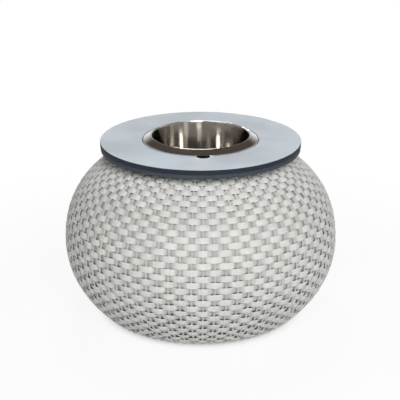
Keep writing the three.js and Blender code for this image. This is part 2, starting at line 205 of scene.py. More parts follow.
class Shader:
    """The node tree of one material or of the world."""

    def __init__(self, owner: bpy.types.Material | bpy.types.World) -> None:
        """Turns on the owner's nodes and keeps its tree."""
        owner.use_nodes = True
        self.tree = owner.node_tree

    def node(
        self,
        kind: str,
        settings: Mapping[str, Any] | None = None,
        values: Mapping[int | str, Any] | None = None,
    ) -> bpy.types.Node:
        """Adds any node.

        Args:
            kind: The node's type.
            settings: Its settings, which are set first.
            values: What its input sockets hold or are linked to, by number or name.

        Returns:
            The new node.
        """
        made = self.tree.nodes.new(kind)
        for name, value in (settings or {}).items():
            setattr(made, name, value)
        for key, value in (values or {}).items():
            self.feed(made.inputs[key], value)
        return made

    def feed(self, socket: bpy.types.NodeSocket, value: Any) -> None:
        """Links a term or a socket to an input, or sets the input's number or colour.

        Args:
            socket: The input.
            value: A term, a socket, a number or a colour.
        """
        source = value.socket if isinstance(value, Term) else value
        if isinstance(source, bpy.types.NodeSocket):
            self.tree.links.new(source, socket)
        elif isinstance(source, tuple) and socket.type == "RGBA":
            socket.default_value = (*source[:3], 1.0)
        else:
            socket.default_value = source

    def term(self, node: bpy.types.Node, output: int | str = 0) -> Term:
        """One output of a node as a term."""
        return Term(self, node.outputs[output])

    def place(self) -> Term:
        """Object coordinates."""
        return self.term(self.node("ShaderNodeTexCoord"), "Object")

    def lay(self) -> Term:
        """The piece's own UV map: metres along a strand and metres across it."""
        return self.term(self.node("ShaderNodeUVMap", {"uv_map": Mesh.LAY}))

    def value_of(self, name: str) -> Term:
        """A value kept on the mesh's points."""
        return self.term(self.node("ShaderNodeAttribute", {"attribute_name": name}), "Fac")

    def stretched(self, vector: Term, scale: tuple[float, float, float]) -> Term:
        """Coordinates multiplied by one factor on each axis."""
        node = self.node("ShaderNodeVectorMath", {"operation": "MULTIPLY"}, {0: vector, 1: scale})
        return self.term(node)

    def parts(self, vector: Term) -> list[Term]:
        """The x, y and z of a vector."""
        node = self.node("ShaderNodeSeparateXYZ", None, {0: vector})
        return [self.term(node, axis) for axis in ("X", "Y", "Z")]

    def from_axis(self, vector: Term) -> Term:
        """Distance of a place from the Z axis.

        Args:
            vector: The place.

        Returns:
            The distance.
        """
        flat = self.stretched(vector, (1.0, 1.0, 0.0))
        node = self.node("ShaderNodeVectorMath", {"operation": "LENGTH"}, {0: flat})
        return self.term(node, "Value")

    def noise(
        self, vector: Term, scale: float = 1.0, detail: float = 2.0, rough: float = 0.5
    ) -> Term:
        """Cloudy noise from 0 to 1.

        Args:
            vector: Where it is read.
            scale: Features per unit of the vector.
            detail: Octaves.
            rough: How strong the fine octaves are.

        Returns:
            The noise's height.
        """
        values = {"Vector": vector, "Scale": scale, "Detail": detail, "Roughness": rough}
        return self.term(self.node("ShaderNodeTexNoise", None, values))

    def mix(self, share: Any, first: Any, second: Any) -> Term:
        """Colour between two others."""
        values = {0: share, 6: first, 7: second}
        return self.term(self.node("ShaderNodeMix", {"data_type": "RGBA"}, values), 2)

    def relief(self, height: Term, depth: float) -> Term:
        """Normal of a surface that a height of 1 raises by a depth in metres."""
        values = {"Height": height, "Distance": depth, "Strength": 1.0}
        return self.term(self.node("ShaderNodeBump", None, values), "Normal")


@dataclass(frozen=True)
class Finish:
    """One finish: its slot in the record and the values that are the same all over it."""

    slot: Slot
    colour: Colour
    roughness: float
    metallic: float = 0.0

    def material(self) -> bpy.types.Material:
        """Makes the material and dresses it.

        Returns:
            A material named after the slot.
        """
        made = bpy.data.materials.new(self.slot.value)
        shader = Shader(made)
        surface = shader.tree.nodes["Principled BSDF"]
        even = {
            "Base Color": self.colour,
            "Roughness": self.roughness,
            "Metallic": self.metallic,
        }
        for name, value in (*even.items(), *self.variation(shader).items()):
            shader.feed(surface.inputs[name], value)
        return made

    def variation(self, shader: Shader) -> dict[str, Term]:
        """What changes over the surface.

        Args:
            shader: The material's tree.

        Returns:
            The terms by the name of the surface's socket.
        """
        place = shader.place()
        cloud = shader.noise(place, scale=60.0, detail=3.0)
        fine = shader.noise(place, scale=900.0)
        return {
            "Base Color": shader.mix(1 - cloud, self.colour, darkened(self.colour, 0.8)),
            "Roughness": self.roughness * (0.85 + 0.3 * cloud),
            "Normal": shader.relief(fine, depth=0.03 * MM),
        }


@dataclass(frozen=True)
class StrandFinish(Finish):
    """Whitewashed flat resin strand: lengthwise lines, uneven wash, and painted shade that greys
    the hollows and slopes.

    Near the mouth the strand is painted lighter, as painted light where the top shades the weave.
    """

    # Colour of worn streaks, which the tone's painted shade also uses
    streak_and_shade: Colour = srgb(182, 181, 176)
    cool: Colour = srgb(222, 223, 221)
    # Grey of the painted shade in the hollows
    hollow_shade: Colour = srgb(160, 160, 157)
    # Lighter colour of the painted light under the top
    under_top_light_colour: Colour = srgb(247, 247, 243)
    hollow_shade_share: float = 0.7
    # Features per metre along and across the strand
    line_scale: tuple[float, float, float] = (14.0, 1500.0, 1.0)
    wash_scale: tuple[float, float, float] = (26.0, 40.0, 1.0)
    tint_scale: tuple[float, float, float] = (9.0, 25.0, 1.0)

    def variation(self, shader: Shader) -> dict[str, Term]:
        """Lines along the strand, patches of wash along it, painted shade in the hollows, and the
        tone's grey: random tone with painted shade and some wear.

        Args:
            shader: The material's tree.

        Returns:
            The terms by the name of the surface's socket.
        """
        lay = shader.lay()
        lines = shader.noise(shader.stretched(lay, self.line_scale), detail=3.0, rough=0.6)
        wash = shader.noise(shader.stretched(lay, self.wash_scale))
        tint = shader.noise(shader.stretched(lay, self.tint_scale), detail=1.0)
        recess = shader.value_of(Mesh.RECESS)
        tone = shader.value_of(Mesh.TONE)
        tinted = shader.mix(tint.ramp(0.35, 0.65), self.colour, self.cool)
        # Painted light: lighter near the mouth, where the top shades the weave
        base = shader.mix(shader.value_of(Mesh.SHELTER), tinted, self.under_top_light_colour)
        worn = shader.mix(lines.ramp(0.5, 0.78) * (0.35 + 0.5 * wash), base, self.streak_and_shade)
        # Painted shade: grey in the hollows
        greyed = shader.mix(recess * self.hollow_shade_share, worn, self.hollow_shade)
        # Tone: random grey, with painted shade and some wear
        toned = shader.mix(tone, greyed, self.streak_and_shade)
        return {
            "Base Color": toned,
            "Roughness": self.roughness + 0.18 * lines,
            "Normal": shader.relief(lines, depth=0.12 * MM),
        }


@dataclass(frozen=True)
class SlabFinish(Finish):
    """Compact laminate: a pale satin face on a black core that shows along the edges."""

    core: Colour = srgb(18, 25, 43)
    speck: Colour = srgb(205, 214, 221)

    def variation(self, shader: Shader) -> dict[str, Term]:
        """Faint clouding and pores on the face, and the black core where the edge is cut.

        Args:
            shader: The material's tree.

        Returns:
            The terms by the name of the surface's socket.
        """
        place = shader.place()
        cloud = shader.noise(place, scale=7.0, detail=3.0)
        pores = shader.noise(place, scale=1400.0)
        core = shader.value_of(Mesh.CORE)
        face = shader.mix(cloud.ramp(0.3, 0.75), self.colour, self.speck)
        grain = shader.mix(pores.ramp(0.55, 0.8) * 0.25, face, self.speck)
        return {
            "Base Color": shader.mix(core, grain, self.core),
            "Roughness": self.roughness + 0.06 * cloud + 0.5 * core,
            "Normal": shader.relief(pores, depth=0.012 * MM),
        }


@dataclass(frozen=True)
class SteelFinish(Finish):
    """Polished or satin steel turned about the table's axis, with faint rings and smears."""

    ring_depth: float = 0.004 * MM
    ring_drift: float = 0.02
    smear: float = 0.1

    def variation(self, shader: Shader) -> dict[str, Term]:
        """Rings follow the radius and the height, and smears are soft clouds.

        Args:
            shader: The material's tree.

        Returns:
            The terms by the name of the surface's socket.
        """
        place = shader.place()
        across, _, up = shader.parts(place)
        values = {0: shader.from_axis(place), 1: up, 2: self.ring_drift * across}
        sweep = shader.node("ShaderNodeCombineXYZ", None, values)
        rings = shader.noise(shader.term(sweep), scale=2600.0)
        smears = shader.noise(place, scale=24.0, detail=4.0, rough=0.6)
        return {
            "Roughness": self.roughness + self.smear * smears.ramp(0.45, 0.8),
            "Normal": shader.relief(rings, self.ring_depth),
        }


@dataclass(frozen=True)
class CoatFinish(Finish):
    """Powder coat: orange-peel relief and a slight change of tone."""

    def variation(self, shader: Shader) -> dict[str, Term]:
        """Two scales of noise: the coat's peel and the change of tone.

        Args:
            shader: The material's tree.

        Returns:
            The terms by the name of the surface's socket.
        """
        place = shader.place()
        peel = shader.noise(place, scale=700.0, detail=1.0)
        tone = shader.noise(place, scale=18.0, detail=3.0)
        return {
            "Base Color": shader.mix(tone.ramp(0.3, 0.7), darkened(self.colour, 0.78), self.colour),
            "Roughness": self.roughness + 0.12 * peel,
            "Normal": shader.relief(peel, depth=0.05 * MM),
        }


class Palette:
    """The table's materials, each made once and handed out by slot."""

    finishes: tuple[Finish, ...] = (
        StrandFinish(Slot.STRAND, srgb(225, 225, 220), 0.5),
        SlabFinish(Slot.SLAB, srgb(224, 234, 244), 0.22),
        CoatFinish(Slot.BOARD, srgb(58, 67, 74), 0.7),
        SteelFinish(Slot.POLISHED, (0.66, 0.64, 0.61), 0.07, 1.0),
        SteelFinish(Slot.SATIN, (0.56, 0.56, 0.56), 0.28, 1.0, ring_depth=0.02 * MM),
        Finish(Slot.FOAM, srgb(236, 232, 218), 0.85),
        Finish(Slot.SILICONE, srgb(150, 153, 152), 0.55),
        CoatFinish(Slot.FRAME, srgb(178, 174, 166), 0.45),
        Finish(Slot.FASTENER, (0.56, 0.57, 0.59), 0.32, 1.0),
        Finish(Slot.BRASS, (0.6, 0.45, 0.2), 0.3, 1.0),
        Finish(Slot.GLIDE, srgb(44, 45, 47), 0.5),
    )

    def __init__(self) -> None:
        """Makes every material."""
        self.materials = {finish.slot: finish.material() for finish in self.finishes}

    def dress_nodes(self, frame: Mapping[str, Any]) -> None:
        """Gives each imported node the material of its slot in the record.
        """
        for row in frame["record"]["subparts"]:
            piece = frame["nodes"][row["node"]]
            piece.data.materials.clear()
            piece.data.materials.append(self.materials[Slot(row["material_slot"])])


@dataclass
class Mesh:
    """Points and four-sided faces, with a UV for each corner and named values for each point."""

    LAY = "lay"
    # Point values: painted shade, tone with painted shade, and painted light under the top
    RECESS = "recess"
    TONE = "tone"
    CORE = "core"
    SHELTER = "shelter"
    WELD = 0.0005 * MM

    points: Array
    faces: Array
    lay: Array | None = None
    values: dict[str, Array] = field(default_factory=dict)

    @classmethod
    def grid(
        cls,
        points: Array,
        wrap: tuple[bool, bool],
        along: Array | None = None,
        across: Array | None = None,
        **values: Array | float,
    ) -> Mesh:
        """Faces between neighbours of one or more grids of points.

        Args:
            points: Places, as (..., rows, columns, 3). Leading axes are separate grids.
            wrap: Whether the last row meets the first, and the last column the first.
            along: U of each row line, (..., rows), with one more line where rows wrap.
            across: V of each column line, (..., columns), with one more where columns wrap.
            values: Named values, each as (..., rows, columns).

        Returns:
            The mesh, whose faces take the corners (row, column), (row + 1, column),
            (row + 1, column + 1) and (row, column + 1).
        """
        rows, columns = points.shape[-3:-1]
        grids = points.reshape(-1, rows, columns, 3)
        count = len(grids)
        row = np.arange(rows if wrap[0] else rows - 1)
        column = np.arange(columns if wrap[1] else columns - 1)
        this, after = row[:, None] * columns, (row[:, None] + 1) % rows * columns
        follow = (column + 1) % columns
        corners = [this + column, after + column, after + follow, this + follow]
        single = np.stack(corners, axis=-1).reshape(-1, 4)
        shift = np.arange(count)[:, None, None] * rows * columns
        lay = None
        if along is not None and across is not None:
            u = along.reshape(count, -1)
            v = np.broadcast_to(across, (count, across.shape[-1]))
            u = np.stack([u[:, row], u[:, row + 1], u[:, row + 1], u[:, row]], axis=-1)
            v = np.stack([v[:, column], v[:, column], v[:, column + 1], v[:, column + 1]], axis=-1)
            corner = np.broadcast_arrays(u[:, :, None, :], v[:, None, :, :])
            lay = np.stack(corner, axis=-1).reshape(-1, 4, 2)
        shape = points.shape[:-1]
        flat = {name: np.broadcast_to(value, shape).ravel() for name, value in values.items()}
        return cls(grids.reshape(-1, 3), (single[None] + shift).reshape(-1, 4), lay, flat)

    @classmethod
    def joined(cls, parts: Sequence[Mesh]) -> Mesh:
        """Several meshes as one.

        Args:
            parts: Meshes that carry UVs and the same values.

        Returns:
            One mesh with all their faces.
        """
        starts = np.cumsum([0] + [len(part.points) for part in parts[:-1]])
        names = parts[0].values
        return cls(
            np.concatenate([part.points for part in parts]),
            np.concatenate([part.faces + start for part, start in zip(parts, starts)]),
            np.concatenate([part.lay for part in parts]),
            {name: np.concatenate([part.values[name] for part in parts]) for name in names},
        )

    def outward(self) -> Mesh:
        """Turns all faces round if the volume they enclose comes out negative.

        Returns:
            This mesh, whose faces now look outward.
        """
        corner = self.points[self.faces]
        halves = (corner[:, [0, 1, 2]], corner[:, [0, 2, 3]])
        volume = sum(np.einsum("ij,ij->", t[:, 0], np.cross(t[:, 1], t[:, 2])) for t in halves)
        if volume < 0:
            self.faces = self.faces[:, ::-1].copy()
            self.lay = None if self.lay is None else self.lay[:, ::-1].copy()
        return self

    def chosen(self, points: Array, faces: Array, keep: Array) -> Mesh:
        """The mesh of some of its points and faces.

        Args:
            points: Numbers of the points that stay.
            faces: All faces, with the new numbers of their points.
            keep: Which faces stay.

        Returns:
            The smaller mesh.
        """
        lay = None if self.lay is None else self.lay[keep]
        values = {name: value[points] for name, value in self.values.items()}
        return Mesh(self.points[points], faces[keep], lay, values)

    def kept(self, keep: Array) -> Mesh:
        """Some of the faces, with the points that they use.

        Args:
            keep: Which faces stay.

        Returns:
            The smaller mesh.
        """
        used = np.unique(self.faces[keep])
        number = np.zeros(len(self.points), dtype=np.int64)
        number[used] = np.arange(len(used))
        return self.chosen(used, number[self.faces], keep)

    def welded(self) -> Mesh:
        """Joins points that lie at the same place, and drops faces that have no area left.

        Returns:
            The closed mesh.
        """
        keys = np.round(self.points / self.WELD).astype(np.int64)
        _, first, back = np.unique(keys, axis=0, return_index=True, return_inverse=True)
        faces = back.reshape(-1)[self.faces]
        corners = 1 + np.count_nonzero(np.diff(np.sort(faces, axis=1), axis=1), axis=1)
        return self.chosen(first, faces, corners > 2)

    def build(
        self, name: str, material: bpy.types.Material, crisp: float | None = None
    ) -> bpy.types.Object:
        """Makes the Blender object at the origin.

        Args:
            name: The piece's name.
            material: Its material.
            crisp: Edges that turn by more than this angle stay sharp. None keeps all smooth.

        Returns:
            The new object.
        """
        follow = np.roll(self.faces, -1, axis=1)
        used = self.faces != follow
        sizes = used.sum(axis=1)
        loops = self.faces[used]
        mesh = bpy.data.meshes.new(name)
        mesh.vertices.add(len(self.points))
        mesh.vertices.foreach_set("co", self.points.astype(np.float32).ravel())
        mesh.loops.add(len(loops))
        mesh.loops.foreach_set("vertex_index", loops.astype(np.int32))
        mesh.polygons.add(len(sizes))
        starts = np.concatenate([[0], np.cumsum(sizes)[:-1]])
        mesh.polygons.foreach_set("loop_start", starts.astype(np.int32))
        mesh.update(calc_edges=True)
        mesh.validate()
        if self.lay is not None:
            layer = mesh.uv_layers.new(name=self.LAY)
            layer.uv.foreach_set("vector", self.lay[used].astype(np.float32).ravel())
        for key, value in self.values.items():
            attribute = mesh.attributes.new(key, "FLOAT", "POINT")
            attribute.data.foreach_set("value", value.astype(np.float32))
        mesh.shade_smooth()
        if crisp is not None:
            mesh.set_sharp_from_angle(angle=crisp)
        mesh.materials.append(material)
        made = bpy.data.objects.new(name, mesh)
        bpy.context.scene.collection.objects.link(made)
        return made


class Workshop:
    """Hands out materials and puts finished pieces on their bodies."""

    crisp = math.radians(32)

    def __init__(self, palette: Palette) -> None:
        """Keeps the materials."""
        self.palette = palette

    def finish(
        self,
        mesh: Mesh,
        name: str,
        slot: Slot,
        body: str,
        stands_for: Sequence[str],
        soft: bool = False,
    ) -> None:
        """Builds a piece, gives it its material and lets it ride.

        Args:
            mesh: The piece's surface.
            name: The piece's name.
            slot: Its material slot.
            body: The body that it rides on.
            stands_for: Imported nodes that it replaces.
            soft: Whether all its edges are shaded smooth.
        """
        crisp = None if soft else self.crisp
        made = mesh.outward().build(name, self.palette.materials[slot], crisp)
        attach(made, body)
        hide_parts(*stands_for)
        LOG.info("%s: %d faces on %s", name, len(mesh.faces), body)


def rounded(
    corners: Sequence[tuple[float, float, float]], steps: int, closed: bool = True
) -> Array:
    """Outline of straight stretches with round corners.

    Each corner is cut back along both its sides by radius times the tangent of half the turn,
    and an arc of equal steps joins the two cuts.

    Args:
        corners: (x, y, corner radius), in order. A radius of 0 keeps the corner sharp.
        steps: Steps in each arc.
        closed: Whether the outline closes on itself. The ends of an open one stay as they are.

    Returns:
        Points as (count, 2).
    """
    found: list[Array] = []
    count = len(corners)
    for index, (x, y, radius) in enumerate(corners):
        here = np.array([x, y])
        at_end = not closed and index in (0, count - 1)
        if radius == 0 or at_end:
            found.append(here)
            continue
        before = np.array(corners[index - 1][:2]) - here
        after = np.array(corners[(index + 1) % count][:2]) - here
        before /= np.linalg.norm(before)
        after /= np.linalg.norm(after)
        half = math.acos(float(np.clip(before @ after, -1, 1))) / 2
        middle = (before + after) / np.linalg.norm(before + after)
        centre = here + middle * radius / math.sin(half)
        first = before * radius / math.tan(half) - (centre - here)
        last = after * radius / math.tan(half) - (centre - here)
        sweep = math.pi - 2 * half
        share = np.linspace(0, 1, steps + 1)[:, None]
        weight = np.sin((1 - share) * sweep) * first + np.sin(share * sweep) * last
        found.append(centre + weight / math.sin(sweep))
    return np.vstack(found)


def revolve(profile: Array, steps: int) -> Mesh:
    """Turned surface: every outline point goes round the table's axis.

    Args:
        profile: (radius, height) points. Ends on the axis close it, and any other outline
            closes on itself.
        steps: Steps round the axis.

    Returns:
        The closed mesh.
    """
    on_axis = not profile[[0, -1], 0].any()
    turn = np.arange(steps) * 2 * math.pi / steps
    points = polar(profile[:, 0], turn[:, None], profile[:, 1])
    return Mesh.grid(points, (True, not on_axis)).welded()


def mitres(line: Array) -> Array:
    """Sideways directions along a line.

    The direction at a point is the mean of the normals of the two stretches that meet there,
    lengthened so that a strip along both keeps its width.

    Args:
        line: Points of the line, (count, 2).

    Returns:
        One direction for each point, (count, 2).
    """
    normal = np.diff(line, axis=0)[:, ::-1] * np.array([1.0, -1.0])
    normal /= np.linalg.norm(normal, axis=1)[:, None]
    after = np.vstack([normal, normal[-1:]])
    mitre = np.vstack([normal[:1], normal]) + after
    mitre /= np.linalg.norm(mitre, axis=1)[:, None]
    return mitre / np.einsum("ij,ij->i", after, mitre)[:, None]


def sheet(line: Array, thickness: float) -> Array:
    """Sheet-metal outline: a centre line offset to both sides by half the thickness.

    Args:
        line: Centre line points, (radius, height).
        thickness: Sheet thickness.

    Returns:
        One side, then the other side backwards.
    """
    offset = mitres(line) * thickness / 2
    return np.vstack([line + offset, (line - offset)[::-1]])


def strap(path: Array, width: float, thickness: float, ease: float, steps: int) -> Mesh:
    """Flat bar carried along a path, with quarter rounds along its edges and at its ends.

    A section is four arcs about fixed corner centres. At an end the arcs shrink by the cosine of
    an angle while the section moves on by its sine, and one flat face closes it.

    Args:
        path: Centre line, (distance along +X, height).
        width: Width along the Y axis.
        thickness: Thickness across the path.
        ease: Radius of the rounds.
        steps: Steps in a quarter round.

    Returns:
        The closed mesh.
    """
    angle = np.linspace(0, math.pi / 2, steps + 1)
    back = ease * (1 - np.sin(angle))[:, None]
    lead, tail = path[1] - path[0], path[-1] - path[-2]
    start = path[0] + back[::-1] * lead / np.linalg.norm(lead)
    end = path[-1] - back * tail / np.linalg.norm(tail)
    middle = np.vstack([start, path[1:-1], end])
    aside = np.pad(mitres(path), ((steps, steps), (0, 0)), mode="edge")
    shrink = ease * np.concatenate([np.cos(angle)[::-1], np.ones(len(path) - 2), np.cos(angle)])
    turn = (np.arange(4)[:, None] * math.pi / 2 + angle).ravel()
    side = np.repeat([1.0, -1.0, -1.0, 1.0], steps + 1)
    over = np.repeat([1.0, 1.0, -1.0, -1.0], steps + 1)
    across = (width / 2 - ease) * side + shrink[:, None] * np.cos(turn)
    through = (thickness / 2 - ease) * over + shrink[:, None] * np.sin(turn)
    place = middle[:, None] + through[:, :, None] * aside[:, None]
    tube = Mesh.grid(np.stack([place[..., 0], across, place[..., 1]], axis=-1), (False, True))
    corner = (steps + 1) * np.arange(4)
    caps = np.stack([corner, len(tube.points) - len(turn) + corner[::-1]])
    return Mesh(tube.points, np.vstack([tube.faces, caps])).welded()


@dataclass
class BodySkin:
    """The round body's outer surface.

    Above the equator its meridian is a superellipse that reaches just far enough to pass
    through the mouth, and below it another that passes through the base.
    """

    radius: float = 350 * MM
    equator: float = 194 * MM
    mouth_radius: float = 197 * MM
    base_radius: float = 254.5 * MM
    upper_power: float = 2.25
    lower_power: float = 1.98
    margin: float = 12 * MM
    samples: int = 6001

    def __post_init__(self) -> None:
        """Tabulates the meridian from the mouth down to the base by its length."""
        low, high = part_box("woven_body")
        upper = self.reach(high.z - self.equator, self.mouth_radius, self.upper_power)
        lower = self.reach(self.equator - low.z, self.base_radius, self.lower_power)
        angle = np.linspace(math.pi / 2, -math.pi / 2, self.samples)
        side = np.sign(angle)
        power = np.where(side > 0, self.upper_power, self.lower_power)
        reach = np.where(side > 0, upper, lower)
        across = np.cos(angle) ** (2 / power)
        along = np.abs(np.sin(angle)) ** (2 / power)
        x = self.radius * across
        z = self.equator + side * reach * along
        slope = (across ** (power - 1) / self.radius, side * along ** (power - 1) / reach)
        normal = np.stack(slope) / np.linalg.norm(slope, axis=0)
        keep = (z <= high.z + self.margin) & (z >= low.z - self.margin)
        self.x, self.z, self.nx, self.nz = x[keep], z[keep], normal[0][keep], normal[1][keep]
        run = np.concatenate([[0], np.cumsum(np.hypot(np.diff(self.x), np.diff(self.z)))])
        self.run = run - np.interp(-high.z, -self.z, run)
        self.length = float(np.interp(-low.z, -self.z, self.run))

    def reach(self, height: float, radius: float, power: float) -> float:
        """Half height of the superellipse that passes through a radius at a height."""
        return height / (1 - (radius / self.radius) ** power) ** (1 / power)

    def radius_at(self, run: Array | float) -> Array:
        """Radius of the outer surface at a length down the meridian from the mouth."""
        return np.interp(run, self.run, self.x)

    def meridian(self, run: Array, depth: Array | float) -> tuple[Array, Array]:
        """Radius and height at a length down the meridian and a depth along its normal.

        Args:
            run: Length from the mouth.
            depth: Depth under the surface.

        Returns:
            The radius and the height.
        """
        radius = np.interp(run, self.run, self.x) - depth * np.interp(run, self.run, self.nx)
        height = np.interp(run, self.run, self.z) - depth * np.interp(run, self.run, self.nz)
        return radius, height

    def run_at(self, level: float, depth: float) -> float:
        """Length down the meridian at which the surface at a depth passes a level."""
        return float(np.interp(-level, depth * self.nz - self.z, self.run))

    def place(self, turn: Array, run: Array, depth: Array) -> Array:
        """Points at a turn from the front, a length from the mouth and a depth in the skin."""
        radius, height = self.meridian(run, depth)
        return polar(radius, turn, height)


@dataclass
class WovenBody:
    """Flat strands woven over one, under one, round upright pairs of strands.

    Row i passes behind stake j where i + j is even, and lies in a pad over it where the sum is
    odd. The stakes are nearly as proud as the pads, so a ridge runs down the body at each stake.
    """

    SIDES = 8

    skin: BodySkin
    shop: Workshop
    stakes: int = 80
    front_turn: float = math.radians(-1.6)
    # Rows: their runs down the body, and the shape of a strand
    rows: int = 32
    bands: int = 3
    first_row: float = 15.2 * MM
    row_pitch: float = 14.59 * MM
    row_growth: float = 0.0269 * MM
    row_gap: float = 0.05 * MM
    thickness: float = 1.3 * MM
    crown: float = 0.4 * MM
    outer_depth: float = 0.5 * MM
    inner_depth: float = 6.0 * MM
    behind_width: float = 5.8 * MM
    crest_width: float = 6.8 * MM
    climb_power: float = 0.9
    climb_shares: tuple[float, ...] = (0.0, 0.17, 0.36, 0.55, 0.76, 1.0)
    spread_share: float = 0.03
    # Section of a strand: shares of its half width, and of its thickness from outside
    section_shares: tuple[tuple[float, float], ...] = (
        (-1.0, 0.45), (-0.975, 0.1), (-0.92, 0.0), (-0.45, 0.0), (0.0, 0.0), (0.45, 0.0),
        (0.92, 0.0), (0.975, 0.1), (1.0, 0.45), (0.96, 0.95), (0.0, 1.0), (-0.96, 0.95),
    )
    # Chance: a pad's shift inward, its shift and tilt along the body, and twist between stakes
    loose_depth: float = 0.3 * MM
    loose_run: float = 0.25 * MM
    loose_tilt: float = 0.25 * MM
    twist: float = 0.12
    row_sway: float = 0.7 * MM
    # Waves of the sway: share of it, number round the body, phase, and drift from row to row
    sway_waves: tuple[tuple[float, int, float, float], ...] = (
        (0.6, 2, 0.9, 0.11), (0.4, 5, 2.3, -0.17),
    )
    # Tone by row and by pad at random, painted shade with some wear on the slopes, and painted
    # shade in the hollows, all less near the mouth, where the weave is painted lighter as light
    # under the top
    row_tone: float = 0.1
    pad_tone: float = 0.08
    slope_shade_and_wear: float = 0.5
    bright_shares: tuple[float, float] = (0.42, 0.54)
    bright_loose: float = 0.2
    hollow_shade_start_share: float = 0.75
    # Painted light under the top: how far down it reaches, and how much painted shade and tone it
    # takes away
    under_top_light_run: float = 140 * MM
    under_top_light_share: float = 0.6
    lay_shift: float = 0.07
    # Stakes: pairs of oval strands
    stake_width: float = 2.8 * MM
    stake_offset: float = 1.42 * MM
    stake_thickness: float = 3.2 * MM
    stake_power: float = 0.72
    stake_depth: float = 3.3 * MM
    stake_sway: float = 0.6 * MM
    stake_step: float = 3.8 * MM
    stake_end: float = 0.6 * MM
    # Painted shade on the stakes and their ends, with the tone that goes with it
    stake_shade: float = 0.6
    stake_tone_share: float = 0.2
    end_shade: float = 0.5
    end_tone: float = 0.15
    # Border cords: how far they lie from the mouth and from the base, and their twist
    mouth_border: float = 3.6 * MM
    base_borders: tuple[float, float] = (11.6 * MM, 4.6 * MM)
    cord_radius: float = 1.5 * MM
    cord_depth: float = 4.3 * MM
    cord_sway: float = 2.5 * MM
    cord_twist: float = 1.7 * MM
    cord_steps: int = 8
    # Painted shade on the cords, with its tone
    cord_shade: float = 0.2
    cord_tone: float = 0.16
    cord_lays: tuple[float, float] = (3.0, 3.2)

    def row_run(self, index: Array) -> Array:
        """Length from the mouth to a row, whose pitch grows towards the base."""
        return self.first_row + self.row_pitch * index + self.row_growth * index * index

    def row_at(self, run: Array) -> Array:
        """Row number at a length from the mouth: the root of row_run's square.

        Args:
            run: Length from the mouth.

        Returns:
            The row, with its fraction.
        """
        past = np.maximum(run - self.first_row, -self.first_row / 2)
        root = np.sqrt(self.row_pitch**2 + 4 * self.row_growth * past)
        return (root - self.row_pitch) / (2 * self.row_growth)

    def sway(self, turn: Array, index: Array) -> Array:
        """Slow waviness of the rows: sines round the body whose phases drift row by row.

        Args:
            turn: Angle from the front.
            index: Row number.

        Returns:
            How far the row is shifted down the meridian.
        """
        return self.row_sway * sum(
            share * np.sin(number * turn + phase + drift * index)
            for share, number, phase, drift in self.sway_waves
        )

    def shelter(self, run: Array) -> Array:
        """Painted light under the top: 1 at the mouth, falling to 0 along a smooth step of the
        length from it.
        """
        return 1 - smooth(np.clip(run / self.under_top_light_run, 0, 1))

    @staticmethod
    def lap(across: Array, through: Array) -> Array:
        """Length along a closed section to each of its points, and back to the first."""
        step = np.hypot(np.diff(across, append=across[0]), np.diff(through, append=through[0]))
        return np.concatenate([[0], np.cumsum(step)])

    def stations(self, pitch: Array) -> tuple[Array, Array, Array]:
        """Where the sections of every strand stand.

        A strand lies flat behind one stake and flat over the next, and climbs between the two
        along a smooth step of the distance raised to a power, which puts most of the climb beside
        the stake that it comes from.

        Args:
            pitch: Length between two stakes along each row.

        Returns:
            For each row and section, its place in stake pitches, its distance in pitches from
            the nearest stake that the strand passes behind, and 1 behind a stake to 0 over one.
        """
        low = (self.behind_width / 2 / pitch)[:, None]
        high = 1 - (self.crest_width / 2 / pitch)[:, None]
        climb = low + (high - low) * np.array(self.climb_shares)
        rising = np.hstack([np.zeros((self.rows, 1)), climb])
        stops = np.hstack([rising, np.ones((self.rows, 1)), 2 - rising[:, :0:-1]])
        first = np.arange(0, self.stakes, 2)[:, None]
        place = (first + stops[:, None, :]).reshape(self.rows, -1)
        away = 1 - np.abs(place % 2 - 1)
        rise = np.clip((away - low) / (high - low), 0, 1) ** self.climb_power
        return place, away, 1 - smooth(rise)

    def shade_and_wear(
        self, middle: Array, away: Array, behind: Array, worn: Array, tone: Array
    ) -> dict[str, Array]:
        """Named values of the strands: painted shade, tone with painted shade, and painted light
        under the top.

        The inner side and what lies behind a stake are hollows, painted as shade. A slope is
        greyer, as painted shade with some wear, up to a smooth step that comes sooner or later by
        chance. All of it fades near the mouth, where the weave is painted lighter as light under
        the top.

        Args:
            middle: Each row's length from the mouth.
            away: Each section's distance from the nearest stake that hides its strand.
            behind: 1 where a section is behind a stake to 0 where it is over one.
            worn: Chance from -1 to 1, which moves the step.
            tone: Greyness that each section has anyway.

        Returns:
            The values by name, for each row, section and point of the section.
        """
        start, end = self.bright_shares
        bright = smooth(np.clip((away + self.bright_loose * worn - start) / (end - start), 0, 1))
        hollow_shade = (behind - self.hollow_shade_start_share) / (1 - self.hollow_shade_start_share)
        shelter = self.shelter(middle)[:, None, None]
        grey_kept = 1 - self.under_top_light_share * shelter
        # Painted shade in the hollows, less near the mouth
        shade = grey_kept * np.clip(hollow_shade, 0, 1)[:, :, None]
        # Random tone, plus painted shade with some wear on the slopes
        grey = tone + self.slope_shade_and_wear * (1 - bright)
        # The inner side, facing into the body, is painted as shade
        inner = np.array(self.section_shares)[:, 1] > 0.5
        return {
            Mesh.RECESS: np.maximum(shade, inner),
            Mesh.TONE: grey_kept * grey[:, :, None],
            Mesh.SHELTER: shelter,
        }

